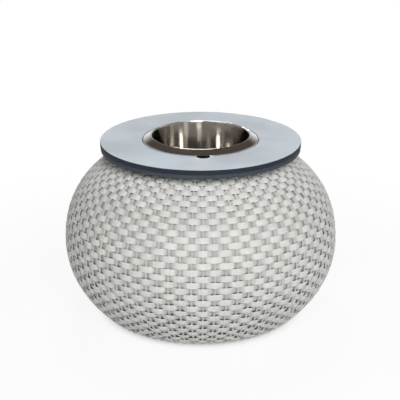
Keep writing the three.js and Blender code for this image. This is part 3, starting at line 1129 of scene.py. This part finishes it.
    def strands(self) -> Mesh:
        """All horizontal strands, as closed flat rings.

        A strand's section lies on the skin's normal. A pad spreads by a share of its width, by
        the third power of how far it has risen, and sits a little loose, which shifts and tilts
        it. Between stakes the strand is twisted by chance.

        Returns:
            The mesh of all rows, each (sections, points of the section).
        """
        draw = np.random.default_rng(SEED)
        rows = np.arange(self.rows)
        sections = len(self.climb_shares) + 1
        middle = self.row_run(rows)
        angle = 2 * math.pi / self.stakes
        radius = self.skin.radius_at(middle)
        place, away, behind = self.stations(radius * angle)
        closed = np.hstack([place, np.full((self.rows, 1), float(self.stakes))])
        turn = self.front_turn + math.pi + (closed + (rows % 2)[:, None]) * angle
        loose = draw.uniform(-1, 1, (4, self.rows, self.stakes // 2))
        inward, along, tilted, greyed = np.repeat(loose, 2 * sections, axis=2) * (1 - behind)
        chance = draw.uniform(-1, 1, (2, self.rows, self.stakes))
        twisted, worn = np.repeat(chance, sections, axis=2) * np.sin(math.pi * away)
        tone = draw.uniform(0.0, self.row_tone, self.rows)[:, None] + self.pad_tone * (1 + greyed)
        pad_depth = self.outer_depth + self.loose_depth * (1 + inward) / 2
        depth = (behind * self.inner_depth + (1 - behind) * pad_depth)[:, :, None]
        slim = (self.row_pitch + 2 * self.row_growth * rows - self.row_gap) / 2
        half = slim[:, None] * (1 + self.spread_share * (1 - behind) ** 3)
        share, level = np.array(self.section_shares).T
        offset = half[:, :, None] * share
        lean = self.loose_run * along + self.loose_tilt * tilted * (place % 2 - 1)
        lean = lean + self.sway(turn[:, :-1], rows[:, None])
        run = (middle[:, None] + lean)[:, :, None] + offset
        sunk = depth + self.thickness * level + self.crown * share**2 * (1 - level)
        sunk = np.maximum(sunk + self.twist * twisted[:, :, None] * offset, self.outer_depth)
        return Mesh.grid(
            self.skin.place(turn[:, :-1, None], run, sunk),
            (True, True),
            turn * radius[:, None],
            self.lap(slim[0] * share, self.thickness * level) + self.lay_shift * rows[:, None],
            **self.shade_and_wear(middle, away, behind, worn, tone),
        )

    def oval(self) -> tuple[Array, Array]:
        """Section of a stake.

        A point lies at half the width times the cosine and half the thickness times the sine,
        each with its size raised to a power and its sign kept.

        Returns:
            Where its points lie across and into the body.
        """
        turn = np.arange(self.SIDES) * 2 * math.pi / self.SIDES
        parts = np.stack([np.cos(turn), np.sin(turn)]).round(9)
        size = np.array([[self.stake_width], [self.stake_thickness]])
        wide, thick = size / 2 * np.sign(parts) * np.abs(parts) ** self.stake_power
        return wide, thick

    def uprights(self) -> Mesh:
        """Pairs of oval upright strands, which bulge where they show and sink where covered.

        Returns:
            The mesh of all stakes, with their ends.
        """
        steps = int(self.skin.length / self.stake_step)
        run = np.linspace(self.stake_end, self.skin.length - self.stake_end, steps)
        index = np.arange(self.stakes)
        shown = np.cos(math.pi * (self.row_at(run) + index[:, None]))
        depth = self.stake_depth - self.stake_sway * shown
        wide, thick = self.oval()
        aside = np.array([[-1.0], [1.0]]) * self.stake_offset + wide
        base = self.front_turn + index * 2 * math.pi / self.stakes
        angle = base[:, None, None, None] + aside[:, None] / self.skin.radius_at(run)[:, None]
        points = self.skin.place(angle, run[:, None], depth[:, None, :, None] + thick)
        lap = self.lap(wide, thick)
        number = np.arange(2 * self.stakes)[:, None]
        along = np.broadcast_to(run, (2 * self.stakes, steps))
        shelter = self.shelter(run)[:, None]
        # Painted shade on the stakes, less near the mouth
        grey = self.stake_shade * (1 - self.under_top_light_share * shelter)
        tubes = Mesh.grid(
            points, (False, True), along, lap + self.lay_shift * number,
            recess=grey, tone=self.stake_tone_share * grey, shelter=shelter,
        )
        return Mesh.joined([tubes, self.caps(points, lap, run[0])])

    def caps(self, points: Array, lap: Array, run: float) -> Mesh:
        """Three faces across each end of every eight-sided tube.

        Args:
            points: Points of the tubes, (stakes, two, sections, sides, 3).
            lap: Length along a section to each of its points.
            run: The first section's length from the mouth, which all faces take for their UVs.

        Returns:
            The mesh of the end faces.
        """
        ends = np.concatenate([points[:, :, 0], points[:, :, -1, ::-1]]).reshape(-1, self.SIDES, 3)
        single = np.array([[7, 2, 1, 0], [7, 6, 3, 2], [6, 5, 4, 3]])
        faces = single + self.SIDES * np.arange(len(ends))[:, None, None]
        spot = np.stack([np.full(self.SIDES, run), lap[: self.SIDES]], axis=1)
        lay = np.broadcast_to(spot[single], (len(ends), 3, 4, 2)).reshape(-1, 4, 2)
        # Painted shade and tone on the stakes' ends
        even = {Mesh.RECESS: self.end_shade, Mesh.TONE: self.end_tone, Mesh.SHELTER: 0.0}
        values = {name: np.full(ends.size // 3, value) for name, value in even.items()}
        return Mesh(ends.reshape(-1, 3), faces.reshape(-1, 4), lay, values)

    def border(self, run: float) -> Mesh:
        """Two round cords twisted round the stakes in one row.

        Each cord swings in and out by the wave and up and down by its slope, half a turn apart.

        Args:
            run: The row's length from the mouth.

        Returns:
            The mesh of both cords.
        """
        count = self.stakes * self.cord_steps
        turn = self.front_turn + np.arange(count + 1) * 2 * math.pi / count
        swing = self.stakes / 2 * (turn[:-1] - self.front_turn)
        side = np.array([-1.0, 1.0])[:, None]
        depth = self.cord_depth + self.cord_sway * side * np.cos(swing)
        level = run + self.cord_twist * side * np.sin(swing)
        ring = np.arange(self.SIDES + 1) * 2 * math.pi / self.SIDES
        points = self.skin.place(
            turn[:-1, None],
            level[:, :, None] + self.cord_radius * np.cos(ring[:-1]),
            depth[:, :, None] + self.cord_radius * np.sin(ring[:-1]),
        )
        along = np.broadcast_to(turn * self.skin.radius_at(run), (2, count + 1))
        across = ring * self.cord_radius + np.array(self.cord_lays)[:, None]
        # Painted shade and tone on the cords, and painted light under the top
        return Mesh.grid(
            points, (True, True), along, across,
            recess=self.cord_shade, tone=self.cord_tone, shelter=self.shelter(run),
        )

    def finish(self, mesh: Mesh, name: str) -> None:
        """Finishes one piece of the weave."""
        self.shop.finish(mesh, name, Slot.STRAND, TABLE, ["woven_body"], soft=True)

    def make(self) -> None:
        """Builds the weave in bands, the stakes in two halves, and the borders."""
        every = self.strands()
        row = every.faces[:, 0] // (len(every.points) // self.rows)
        for number, rows in enumerate(np.array_split(np.arange(self.rows), self.bands), 1):
            self.finish(every.kept(np.isin(row, rows)), f"woven_rows_{number}")
        uprights = self.uprights()
        front = uprights.points[uprights.faces].mean(axis=1)[:, 1] <= 0
        self.finish(uprights.kept(front), "woven_stakes_front")
        self.finish(uprights.kept(~front), "woven_stakes_back")
        runs = [self.mouth_border] + [self.skin.length - above for above in self.base_borders]
        self.finish(Mesh.joined([self.border(run) for run in runs]), "woven_borders")


@dataclass
class Tabletop:
    """The pale slab and the dark board under it, both with the finger notch."""

    shop: Workshop
    well_radius: float = 136 * MM
    flange_radius: float = 147 * MM
    rebate_clearance: float = 0.6 * MM
    rebate_depth: float = 1 * MM
    notch_radius: float = 16.5 * MM
    slab_arris: float = 0.8 * MM
    board_arris: float = 0.6 * MM
    well_arris: float = 0.35 * MM
    inset_share: float = 3.0
    slab_steps: int = 5
    board_steps: int = 4
    pale_rings: int = 3
    arc_points: int = 28
    bridge_points: int = 5
    bridge_step: float = math.radians(0.7)
    round_points: int = 360

    def __post_init__(self) -> None:
        """Finds the radius of the rebate in which the flange lies."""
        self.rebate = self.flange_radius + self.rebate_clearance

    def split_angle(self, radius: float) -> float:
        """Angle from the front where a circle about the axis meets the notch's circle.

        Args:
            radius: The circle's radius.

        Returns:
            The angle, by the law of cosines.
        """
        centre = self.flange_radius
        cosine = (radius**2 + centre**2 - self.notch_radius**2) / (2 * radius * centre)
        return math.acos(cosine)

    def notch_arc(self, radius: float) -> float:
        """Angle at the notch's centre to where a circle about the axis meets it.

        Args:
            radius: The circle's radius.

        Returns:
            The angle, from straight out.
        """
        turn = self.split_angle(radius)
        y = radius * math.cos(turn) - self.flange_radius
        return math.atan2(radius * math.sin(turn), y)

    def notch(self, angle: Array) -> Array:
        """Points on the notch's circle, by the angle at its centre from straight out."""
        return polar(self.notch_radius, angle) - np.array([0.0, self.flange_radius])

    def mouth(self, radius: float, rebate: float) -> Array:
        """Edge of a round hole joined with the notch.

        The outer part of the notch's arc is the same for every hole. A short bridge leads on from
        it, along the notch for a narrow hole or along the rim for a wide one, and the rest is
        round.

        Args:
            radius: The hole's radius.
            rebate: Radius of the widest hole, which ends the shared arc.

        Returns:
            Points, as (count, 2).
        """
        shared = self.notch_arc(rebate)
        own = self.notch_arc(radius)
        start = self.split_angle(radius)
        if own <= shared:
            lead = start + self.bridge_step * np.arange(1, self.bridge_points + 1)
            bridge = polar(radius, lead)
            start = lead[-1]
        else:
            bridge = self.notch(np.linspace(shared, own, self.bridge_points + 1)[1:])
        turn = np.linspace(start, 2 * math.pi - start, self.round_points + 2)[1:-1]
        arc = self.notch(np.linspace(-shared, shared, self.arc_points))
        back = bridge[::-1] * np.array([-1.0, 1.0])
        return np.vstack([arc, bridge, polar(radius, turn), back])

    def circle(self, radius: float) -> Array:
        """Points on a plain circle that pair with those of the holes."""
        x, y = self.mouth(self.rebate, self.rebate).T
        return polar(radius, np.unwrap(np.arctan2(x, -y)))

    def rim(self, node: str, arris: float, steps: int) -> list[tuple[Array, float]]:
        """Outer edge of a board, with round arrises.

        Args:
            node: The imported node, which gives the radius and the levels.
            arris: Radius of the arrises.
            steps: Steps in an arris.

        Returns:
            Rings of points and their levels, from the underside to the top.
        """
        low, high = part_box(node)
        inset = high.x - self.inset_share * arris
        outline = rounded([
            (inset, low.z, 0), (high.x, low.z, arris), (high.x, high.z, arris), (inset, high.z, 0),
        ], steps, closed=False)
        return [(self.circle(radius), level) for radius, level in outline]

    @staticmethod
    def stacked(rings: Sequence[tuple[Array, float]], core: Sequence[float]) -> Mesh:
        """Closed ring of surfaces through rings of points at levels, with a core value each."""
        points = np.stack([np.insert(ring, 2, level, axis=1) for ring, level in rings])
        return Mesh.grid(points, (True, True), core=np.array(core)[:, None]).welded()

    def slab(self) -> None:
        """Pale slab: black core at the edges, pale face up to the rounded arris."""
        low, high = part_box("tabletop_slab")
        floor = high.z - self.rebate_depth
        ease = self.well_arris
        wide = self.mouth(self.rebate, self.rebate)
        narrow = self.mouth(self.well_radius, self.rebate)
        outer = self.rim("tabletop_slab", self.slab_arris, self.slab_steps)
        inner = [
            (self.mouth(self.rebate + ease, self.rebate + ease), high.z), (wide, high.z - ease),
            (wide, floor), (narrow, floor), (narrow, low.z),
        ]
        core = np.ones(len(outer) + len(inner))
        core[len(outer) - self.pale_rings : len(outer) + 1] = 0
        mesh = self.stacked(outer + inner, core)
        self.shop.finish(mesh, "slab", Slot.SLAB, TABLE, ["tabletop_slab"])

    def board(self) -> None:
        """Dark board with eased arrises."""
        low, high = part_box("backing_board")
        narrow = self.mouth(self.well_radius, self.rebate)
        rings = self.rim("backing_board", self.board_arris, self.board_steps)
        rings += [(narrow, high.z), (narrow, low.z)]
        mesh = self.stacked(rings, np.zeros(len(rings)))
        self.shop.finish(mesh, "board", Slot.BOARD, TABLE, ["backing_board"])

    def make(self) -> None:
        """Builds both boards."""
        self.slab()
        self.board()


@dataclass
class Bucket:
    """The lift-out bucket: a mirror-polished liner with its sloping flange, and a satin shell."""

    shop: Workshop
    mouth_radius: float = 123 * MM
    floor_radius: float = 112 * MM
    depth: float = 215 * MM
    corner: float = 14 * MM
    lip: float = 3.5 * MM
    crest_radius: float = 1.8 * MM
    lip_bend: float = 0.3 * MM
    sheet_thickness: float = 1.2 * MM
    shell_thickness: float = 1 * MM
    foam_thickness: float = 6 * MM
    gap: float = 0.3 * MM
    lip_level: float = 455.6 * MM
    crest_lift: float = 0.2 * MM
    shell_inset: float = 0.6 * MM
    bend_steps: int = 12
    steps: int = 192

    def liner_line(self) -> Array:
        """Centre line of the liner: floor, corner, wall, crest, slope and flat lip.

        Returns:
            Points as (radius, height).
        """
        _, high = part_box("bucket_liner")
        half = self.sheet_thickness / 2
        crest = high.z - half
        wall = self.mouth_radius + half
        floor = high.z - self.depth - half
        return rounded([
            (0, floor, 0),
            (self.floor_radius + half, floor, self.corner),
            (wall, crest + self.crest_lift, self.crest_radius),
            (high.x - self.lip, self.lip_level + half, self.lip_bend),
            (high.x, self.lip_level + half, 0),
        ], self.bend_steps, closed=False)

    def shell_line(self) -> Array:
        """Centre line of the outer shell, which follows the liner's wall at a distance.

        Returns:
            Points as (radius, height).
        """
        _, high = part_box("bucket_outer_shell")
        half = self.sheet_thickness / 2
        away = half + 2 * self.gap + self.foam_thickness + self.shell_thickness / 2
        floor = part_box("bucket_liner")[1].z - self.depth - half - away
        flat = self.floor_radius + half + away
        top_radius = high.x - self.shell_thickness / 2
        return rounded([
            (0, floor, 0),
            (flat - self.shell_inset, floor, self.corner + away),
            (top_radius, high.z, 0),
        ], self.bend_steps, closed=False)

    def make(self) -> None:
        """Builds the liner and the shell."""
        liner = revolve(sheet(self.liner_line(), self.sheet_thickness), self.steps)
        self.shop.finish(liner, "liner", Slot.POLISHED, BUCKET, ["bucket_liner"])
        shell = revolve(sheet(self.shell_line(), self.shell_thickness), self.steps)
        self.shop.finish(shell, "outer_shell", Slot.SATIN, BUCKET, ["bucket_outer_shell"])


@dataclass
class Frame:
    """The coated flat-bar frame inside the weave, its rivets, and the glides under it."""

    skin: BodySkin
    shop: Workshop
    ribs: int = 6
    rib_depth: float = 9.5 * MM
    rib_width: float = 20 * MM
    rib_thickness: float = 5 * MM
    rib_points: int = 40
    bend: float = 7.5 * MM
    tab_end: float = 10.5 * MM
    seat_gap: float = 0.3 * MM
    hoop_thickness: float = 4 * MM
    bore_gap: float = 0.5 * MM
    base_width: float = 32 * MM
    ease: float = 0.9 * MM
    rivet_radius: float = 2.5 * MM
    rivet_head: float = 4.8 * MM
    rivet_sink: float = 2.2 * MM
    rivet_rise: float = 0.3 * MM
    rivet_ease: float = 0.2 * MM
    rivet_dome: float = 1.8 * MM
    dome_share: float = 0.7
    dome_bend: float = 1.1 * MM
    screw_hole: float = 3.3 * MM
    well_radius: float = 6.1 * MM
    well_depth: float = 3.2 * MM
    well_ease: float = 0.3 * MM
    pad_ease: float = 0.6 * MM
    sole_ease: float = 1.6 * MM
    steps: int = 180
    small_steps: int = 40
    edge_steps: int = 3
    head_steps: int = 4
    sole_steps: int = 5
    bend_steps: int = 6
    hoop_points: int = 6

    def __post_init__(self) -> None:
        """Finds the circle of the foot screws and the depth of the hoops' faces."""
        self.foot_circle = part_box("base_ring")[1].x - self.base_width / 2
        self.hoop_depth = self.rib_depth + self.rib_thickness + self.seat_gap

    @staticmethod
    def at_ends(radius: float, count: int) -> Array:
        """Corner radii of a line that bends only at its two ends."""
        return np.pad(np.zeros(count - 2), 1, constant_values=radius)

    def around(self, mesh: Mesh, number: int) -> Mesh:
        """A copy of a mesh, turned about the table's axis from the first rib to another.

        Args:
            mesh: A piece at the first rib.
            number: The other rib's number.

        Returns:
            The turned copy.
        """
        turn = 2 * math.pi * (number - 1) / self.ribs
        sine, cosine = math.sin(turn), math.cos(turn)
        matrix = np.array([[cosine, sine, 0.0], [-sine, cosine, 0.0], [0.0, 0.0, 1.0]])
        return Mesh(mesh.points @ matrix, mesh.faces.copy())

    def at_every_rib(self, mesh: Mesh, name: str, slot: Slot, node: str) -> None:
        """Puts copies of a piece at all ribs, in place of the numbered nodes.

        Args:
            mesh: The piece at the first rib.
            name: The pieces' name, without their number.
            slot: Their material slot.
            node: The nodes' name, without their number.
        """
        for number in range(1, self.ribs + 1):
            copy = self.around(mesh, number)
            self.shop.finish(copy, f"{name}_{number}", slot, TABLE, [f"{node}_{number}"])

    def plate(self, node: str, name: str, bore: float) -> None:
        """Flat ring between its bore and its node's rim, with round edges.

        Args:
            node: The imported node.
            name: The piece's name.
            bore: The bore's radius.
        """
        low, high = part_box(node)
        corners = [(bore, low.z), (high.x, low.z), (high.x, high.z), (bore, high.z)]
        outline = rounded([(*corner, self.ease) for corner in corners], self.edge_steps)
        self.shop.finish(revolve(outline, self.steps), name, Slot.FRAME, TABLE, [node])

    def hoop_runs(self, node: str) -> tuple[float, float]:
        """The two lengths down the meridian between which a hoop lies.

        Args:
            node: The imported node.

        Returns:
            The upper and the lower length.
        """
        low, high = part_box(node)
        depths = (self.hoop_depth, self.hoop_depth + self.hoop_thickness)
        return (
            max(self.skin.run_at(high.z, depth) for depth in depths),
            min(self.skin.run_at(low.z, depth) for depth in depths),
        )

    def hoop(self, node: str, name: str) -> None:
        """Hoop of flat bar, bent to the meridian, with round edges.

        Args:
            node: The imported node.
            name: The piece's name.
        """
        run = np.linspace(*self.hoop_runs(node), self.hoop_points)
        ease = self.at_ends(self.ease, self.hoop_points)
        outer = list(zip(*self.skin.meridian(run, self.hoop_depth), ease))
        inner = list(zip(*self.skin.meridian(run, self.hoop_depth + self.hoop_thickness), ease))
        outline = rounded(outer + inner[::-1], self.edge_steps)
        self.shop.finish(revolve(outline, self.steps), name, Slot.FRAME, TABLE, [node])

    def rib(self) -> Mesh:
        """The first rib: a tab, a bend, the meridian down to the base, a bend and a tab.

        Returns:
            The closed mesh.
        """
        low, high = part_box("rib_1")
        half = self.rib_thickness / 2
        depth = self.rib_depth + half
        top, bottom = high.z - half, low.z + half
        ends = (self.skin.run_at(top, depth), self.skin.run_at(bottom, depth))
        radius, height = self.skin.meridian(np.linspace(*ends, self.rib_points), depth)
        curve = list(zip(radius, height, self.at_ends(self.bend, self.rib_points)))
        foot = self.foot_circle - self.tab_end
        corners = [(low.x, top, 0), *curve, (foot, bottom, 0)]
        path = rounded(corners, self.bend_steps, closed=False)
        return strap(path, self.rib_width, self.rib_thickness, self.ease, self.edge_steps)

    def rivet(self, node: str) -> Mesh:
        """A rivet at the first rib, along the skin's normal, from its flat head to its dome.

        Args:
            node: The hoop, whose middle the rivet stands at.

        Returns:
            The closed mesh.
        """
        middle = sum(self.hoop_runs(node)) / 2
        face, under = (
            np.array(self.skin.meridian(middle, self.rib_depth + step)) for step in (0, 1)
        )
        inward = under - face
        grip = self.rib_thickness + self.hoop_thickness + 2 * self.seat_gap
        head, body, dome = self.rivet_head, self.rivet_radius, grip + self.rivet_dome
        outline = rounded([
            (0, -self.rivet_rise, 0), (head, -self.rivet_rise, self.rivet_ease), (head, 0, 0),
            (body, self.rivet_sink, 0), (body, grip, 0), (head, grip, self.rivet_ease),
            (self.dome_share * head, dome, self.dome_bend), (0, dome, 0),
        ], self.head_steps, closed=False)
        turned = revolve(outline, self.small_steps)
        x, z = inward
        axes = np.array([[0.0, 1.0, 0.0], [-z, 0.0, x], [x, 0.0, z]])
        return Mesh(turned.points @ axes + np.array([face[0], 0.0, face[1]]), turned.faces)

    def glide(self) -> Mesh:
        """The glide at the first rib: a low round pad with a well for its screw.

        Returns:
            The closed mesh.
        """
        low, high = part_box("glide_1")
        well, hole, radius = self.well_radius, self.screw_hole, high.y
        seat = low.z + self.well_depth
        outline = rounded([
            (well, low.z, self.well_ease), (radius, low.z, self.sole_ease),
            (radius, high.z, self.pad_ease), (hole, high.z, 0), (hole, seat, 0), (well, seat, 0),
        ], self.sole_steps)
        pad = revolve(outline, self.small_steps)
        return Mesh(pad.points + np.array([self.foot_circle, 0.0, 0.0]), pad.faces)

    def make(self) -> None:
        """Builds rings, hoops, ribs, rivets and glides."""
        self.plate("mouth_ring", "mouth_plate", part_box("rib_1")[0].x + self.bore_gap)
        self.plate("base_ring", "base_plate", self.foot_circle - self.base_width / 2)
        self.hoop("upper_hoop", "upper_band")
        self.hoop("belly_hoop", "belly_band")
        self.at_every_rib(self.rib(), "bent_bar", Slot.FRAME, "rib")
        self.at_every_rib(self.rivet("upper_hoop"), "upper_stud", Slot.FASTENER, "upper_rivet")
        self.at_every_rib(self.rivet("belly_hoop"), "belly_stud", Slot.FASTENER, "belly_rivet")
        self.at_every_rib(self.glide(), "foot_pad", Slot.GLIDE, "glide")


@dataclass(frozen=True)
class SoftLamp:
    """A square area lamp that looks at the middle of the table."""

    name: str
    place: tuple[float, float, float]
    size: float
    power: float


@dataclass
class Studio:
    """Pale floor, white backdrop, soft lamps and the camera."""

    aim_height: float = 289.8 * MM
    aim_aside: float = -1.5 * MM
    elevation: float = math.radians(20.13)
    azimuth: float = math.radians(-2.5)
    distance: float = 2833 * MM
    lens: float = 98.94
    view_end: float = 60.0
    floor_size: float = 14.0
    floor_shares: tuple[float, ...] = (0.0, 0.5, 1.0)
    floor_level: float = -0.02 * MM
    floor_steps: int = 96
    floor_colour: Colour = (0.86, 0.86, 0.86)
    floor_glow: float = 0.9
    floor_start: tuple[float, float] = (0.2, 0.28)
    floor_fade: tuple[float, float] = (0.45, 1.3)
    sky: float = 0.1
    ceiling: Colour = (0.092, 0.078, 0.07)
    skyline: tuple[float, float] = (0.0, 0.48)
    lamps: tuple[SoftLamp, ...] = (
        SoftLamp("front_lamp", (0.35, -2.85, 2.15), 1.6, 82.0),
        SoftLamp("left_lamp", (-1.9, -2.2, 2.2), 1.4, 8.0),
        SoftLamp("side_lamp", (3.0, 0.6, 1.6), 1.6, 9.0),
        SoftLamp("back_lamp", (-0.1, 1.95, 3.25), 1.2, 38.0),
        SoftLamp("rear_lamp", (0.5, 3.0, 0.22), 0.42, 22.0),
    )

    def camera(self) -> None:
        """Puts the camera at the photograph's distance and angle."""
        data = bpy.data.cameras.new("camera")
        data.lens = self.lens
        data.clip_end = self.view_end
        made = bpy.data.objects.new("camera", data)
        flat = self.distance * math.cos(self.elevation)
        side, front = math.sin(self.azimuth), math.cos(self.azimuth)
        aim = Vector((self.aim_aside * front, self.aim_aside * side, self.aim_height))
        back = Vector((flat * side, -flat * front, self.distance * math.sin(self.elevation)))
        made.location = aim + back
        made.rotation_euler = (-back).to_track_quat("-Z", "Y").to_euler()
        bpy.context.scene.collection.objects.link(made)
        bpy.context.scene.camera = made

    @staticmethod
    def seen(shader: Shader) -> Term:
        """1 for rays from the camera, off gloss or through glass, and 0 for the rest.

        Args:
            shader: The tree that asks.

        Returns:
            The share, from 0 to 1.
        """
        path = shader.node("ShaderNodeLightPath")
        camera, gloss, through = (
            shader.term(path, f"Is {kind} Ray") for kind in ("Camera", "Glossy", "Transmission")
        )
        total = camera + gloss + through
        return total.math("MINIMUM", total, 1.0)

    def floor(self) -> None:
        """Large pale disc, lifted towards white where it is seen, that keeps the shadow."""
        turn = np.arange(self.floor_steps) * 2 * math.pi / self.floor_steps
        radius = np.array(self.floor_shares)[:, None] * self.floor_size
        points = polar(radius, turn, self.floor_level)
        material = bpy.data.materials.new("studio_floor")
        shader = Shader(material)
        shader.tree.nodes.remove(shader.tree.nodes["Principled BSDF"])
        matt = shader.node("ShaderNodeBsdfDiffuse", None, {"Color": self.floor_colour})
        glow = shader.node("ShaderNodeEmission", None, {"Color": WHITE, "Strength": 1.0})
        away = shader.from_axis(shader.place())
        near = self.floor_glow * away.ramp(*self.floor_start)
        lift = near + (1.0 - self.floor_glow) * away.ramp(*self.floor_fade)
        values = {0: self.seen(shader) * lift, 1: matt.outputs[0], 2: glow.outputs[0]}
        blend = shader.node("ShaderNodeMixShader", None, values)
        out = shader.tree.nodes["Material Output"]
        shader.feed(out.inputs["Surface"], blend.outputs[0])
        made = Mesh.grid(points, (False, True)).welded().build("studio_floor", material)

    def backdrop(self) -> None:
        """White behind the table, a dark ceiling in what gloss shows, and an even soft light.

        Gloss sees white at the skyline, which falls to the ceiling's colour along a smooth step
        of the direction's height.
        """
        world = bpy.data.worlds.new("studio")
        bpy.context.scene.world = world
        shader = Shader(world)
        direction = shader.term(shader.node("ShaderNodeTexCoord"), "Generated")
        _, _, height = shader.parts(direction)
        gloss = shader.term(shader.node("ShaderNodeLightPath"), "Is Glossy Ray")
        mirrored = shader.mix(height.ramp(*self.skyline), WHITE, self.ceiling)
        shown = shader.mix(gloss, WHITE, mirrored)
        even = (self.sky, self.sky, self.sky)
        back = shader.tree.nodes["Background"]
        shader.feed(back.inputs["Color"], shader.mix(self.seen(shader), even, shown))
        shader.feed(back.inputs["Strength"], 1.0)

    def light(self) -> None:
        """Puts up the lamps."""
        for lamp in self.lamps:
            data = bpy.data.lights.new(lamp.name, "AREA")
            data.shape = "SQUARE"
            data.size = lamp.size
            data.energy = lamp.power
            made = bpy.data.objects.new(lamp.name, data)
            made.location = lamp.place
            made.visible_camera = False
            aim = Vector((0, 0, self.aim_height)) - made.location
            made.rotation_euler = aim.to_track_quat("-Z", "Y").to_euler()
            bpy.context.scene.collection.objects.link(made)

    def make(self) -> None:
        """Sets up the whole studio."""
        bpy.context.scene.view_settings.view_transform = "Standard"
        self.camera()
        self.floor()
        self.backdrop()
        self.light()


def main() -> None:
    """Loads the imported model, dresses it and sets up the studio."""
    logging.basicConfig(level=logging.INFO, format="%(name)s: %(message)s")
    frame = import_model()
    palette = Palette()
    palette.dress_nodes(frame)
    shop = Workshop(palette)
    skin = BodySkin()
    WovenBody(skin, shop).make()
    Frame(skin, shop).make()
    Tabletop(shop).make()
    Bucket(shop).make()
    Studio().make()


if __name__ == "__main__":
    main()
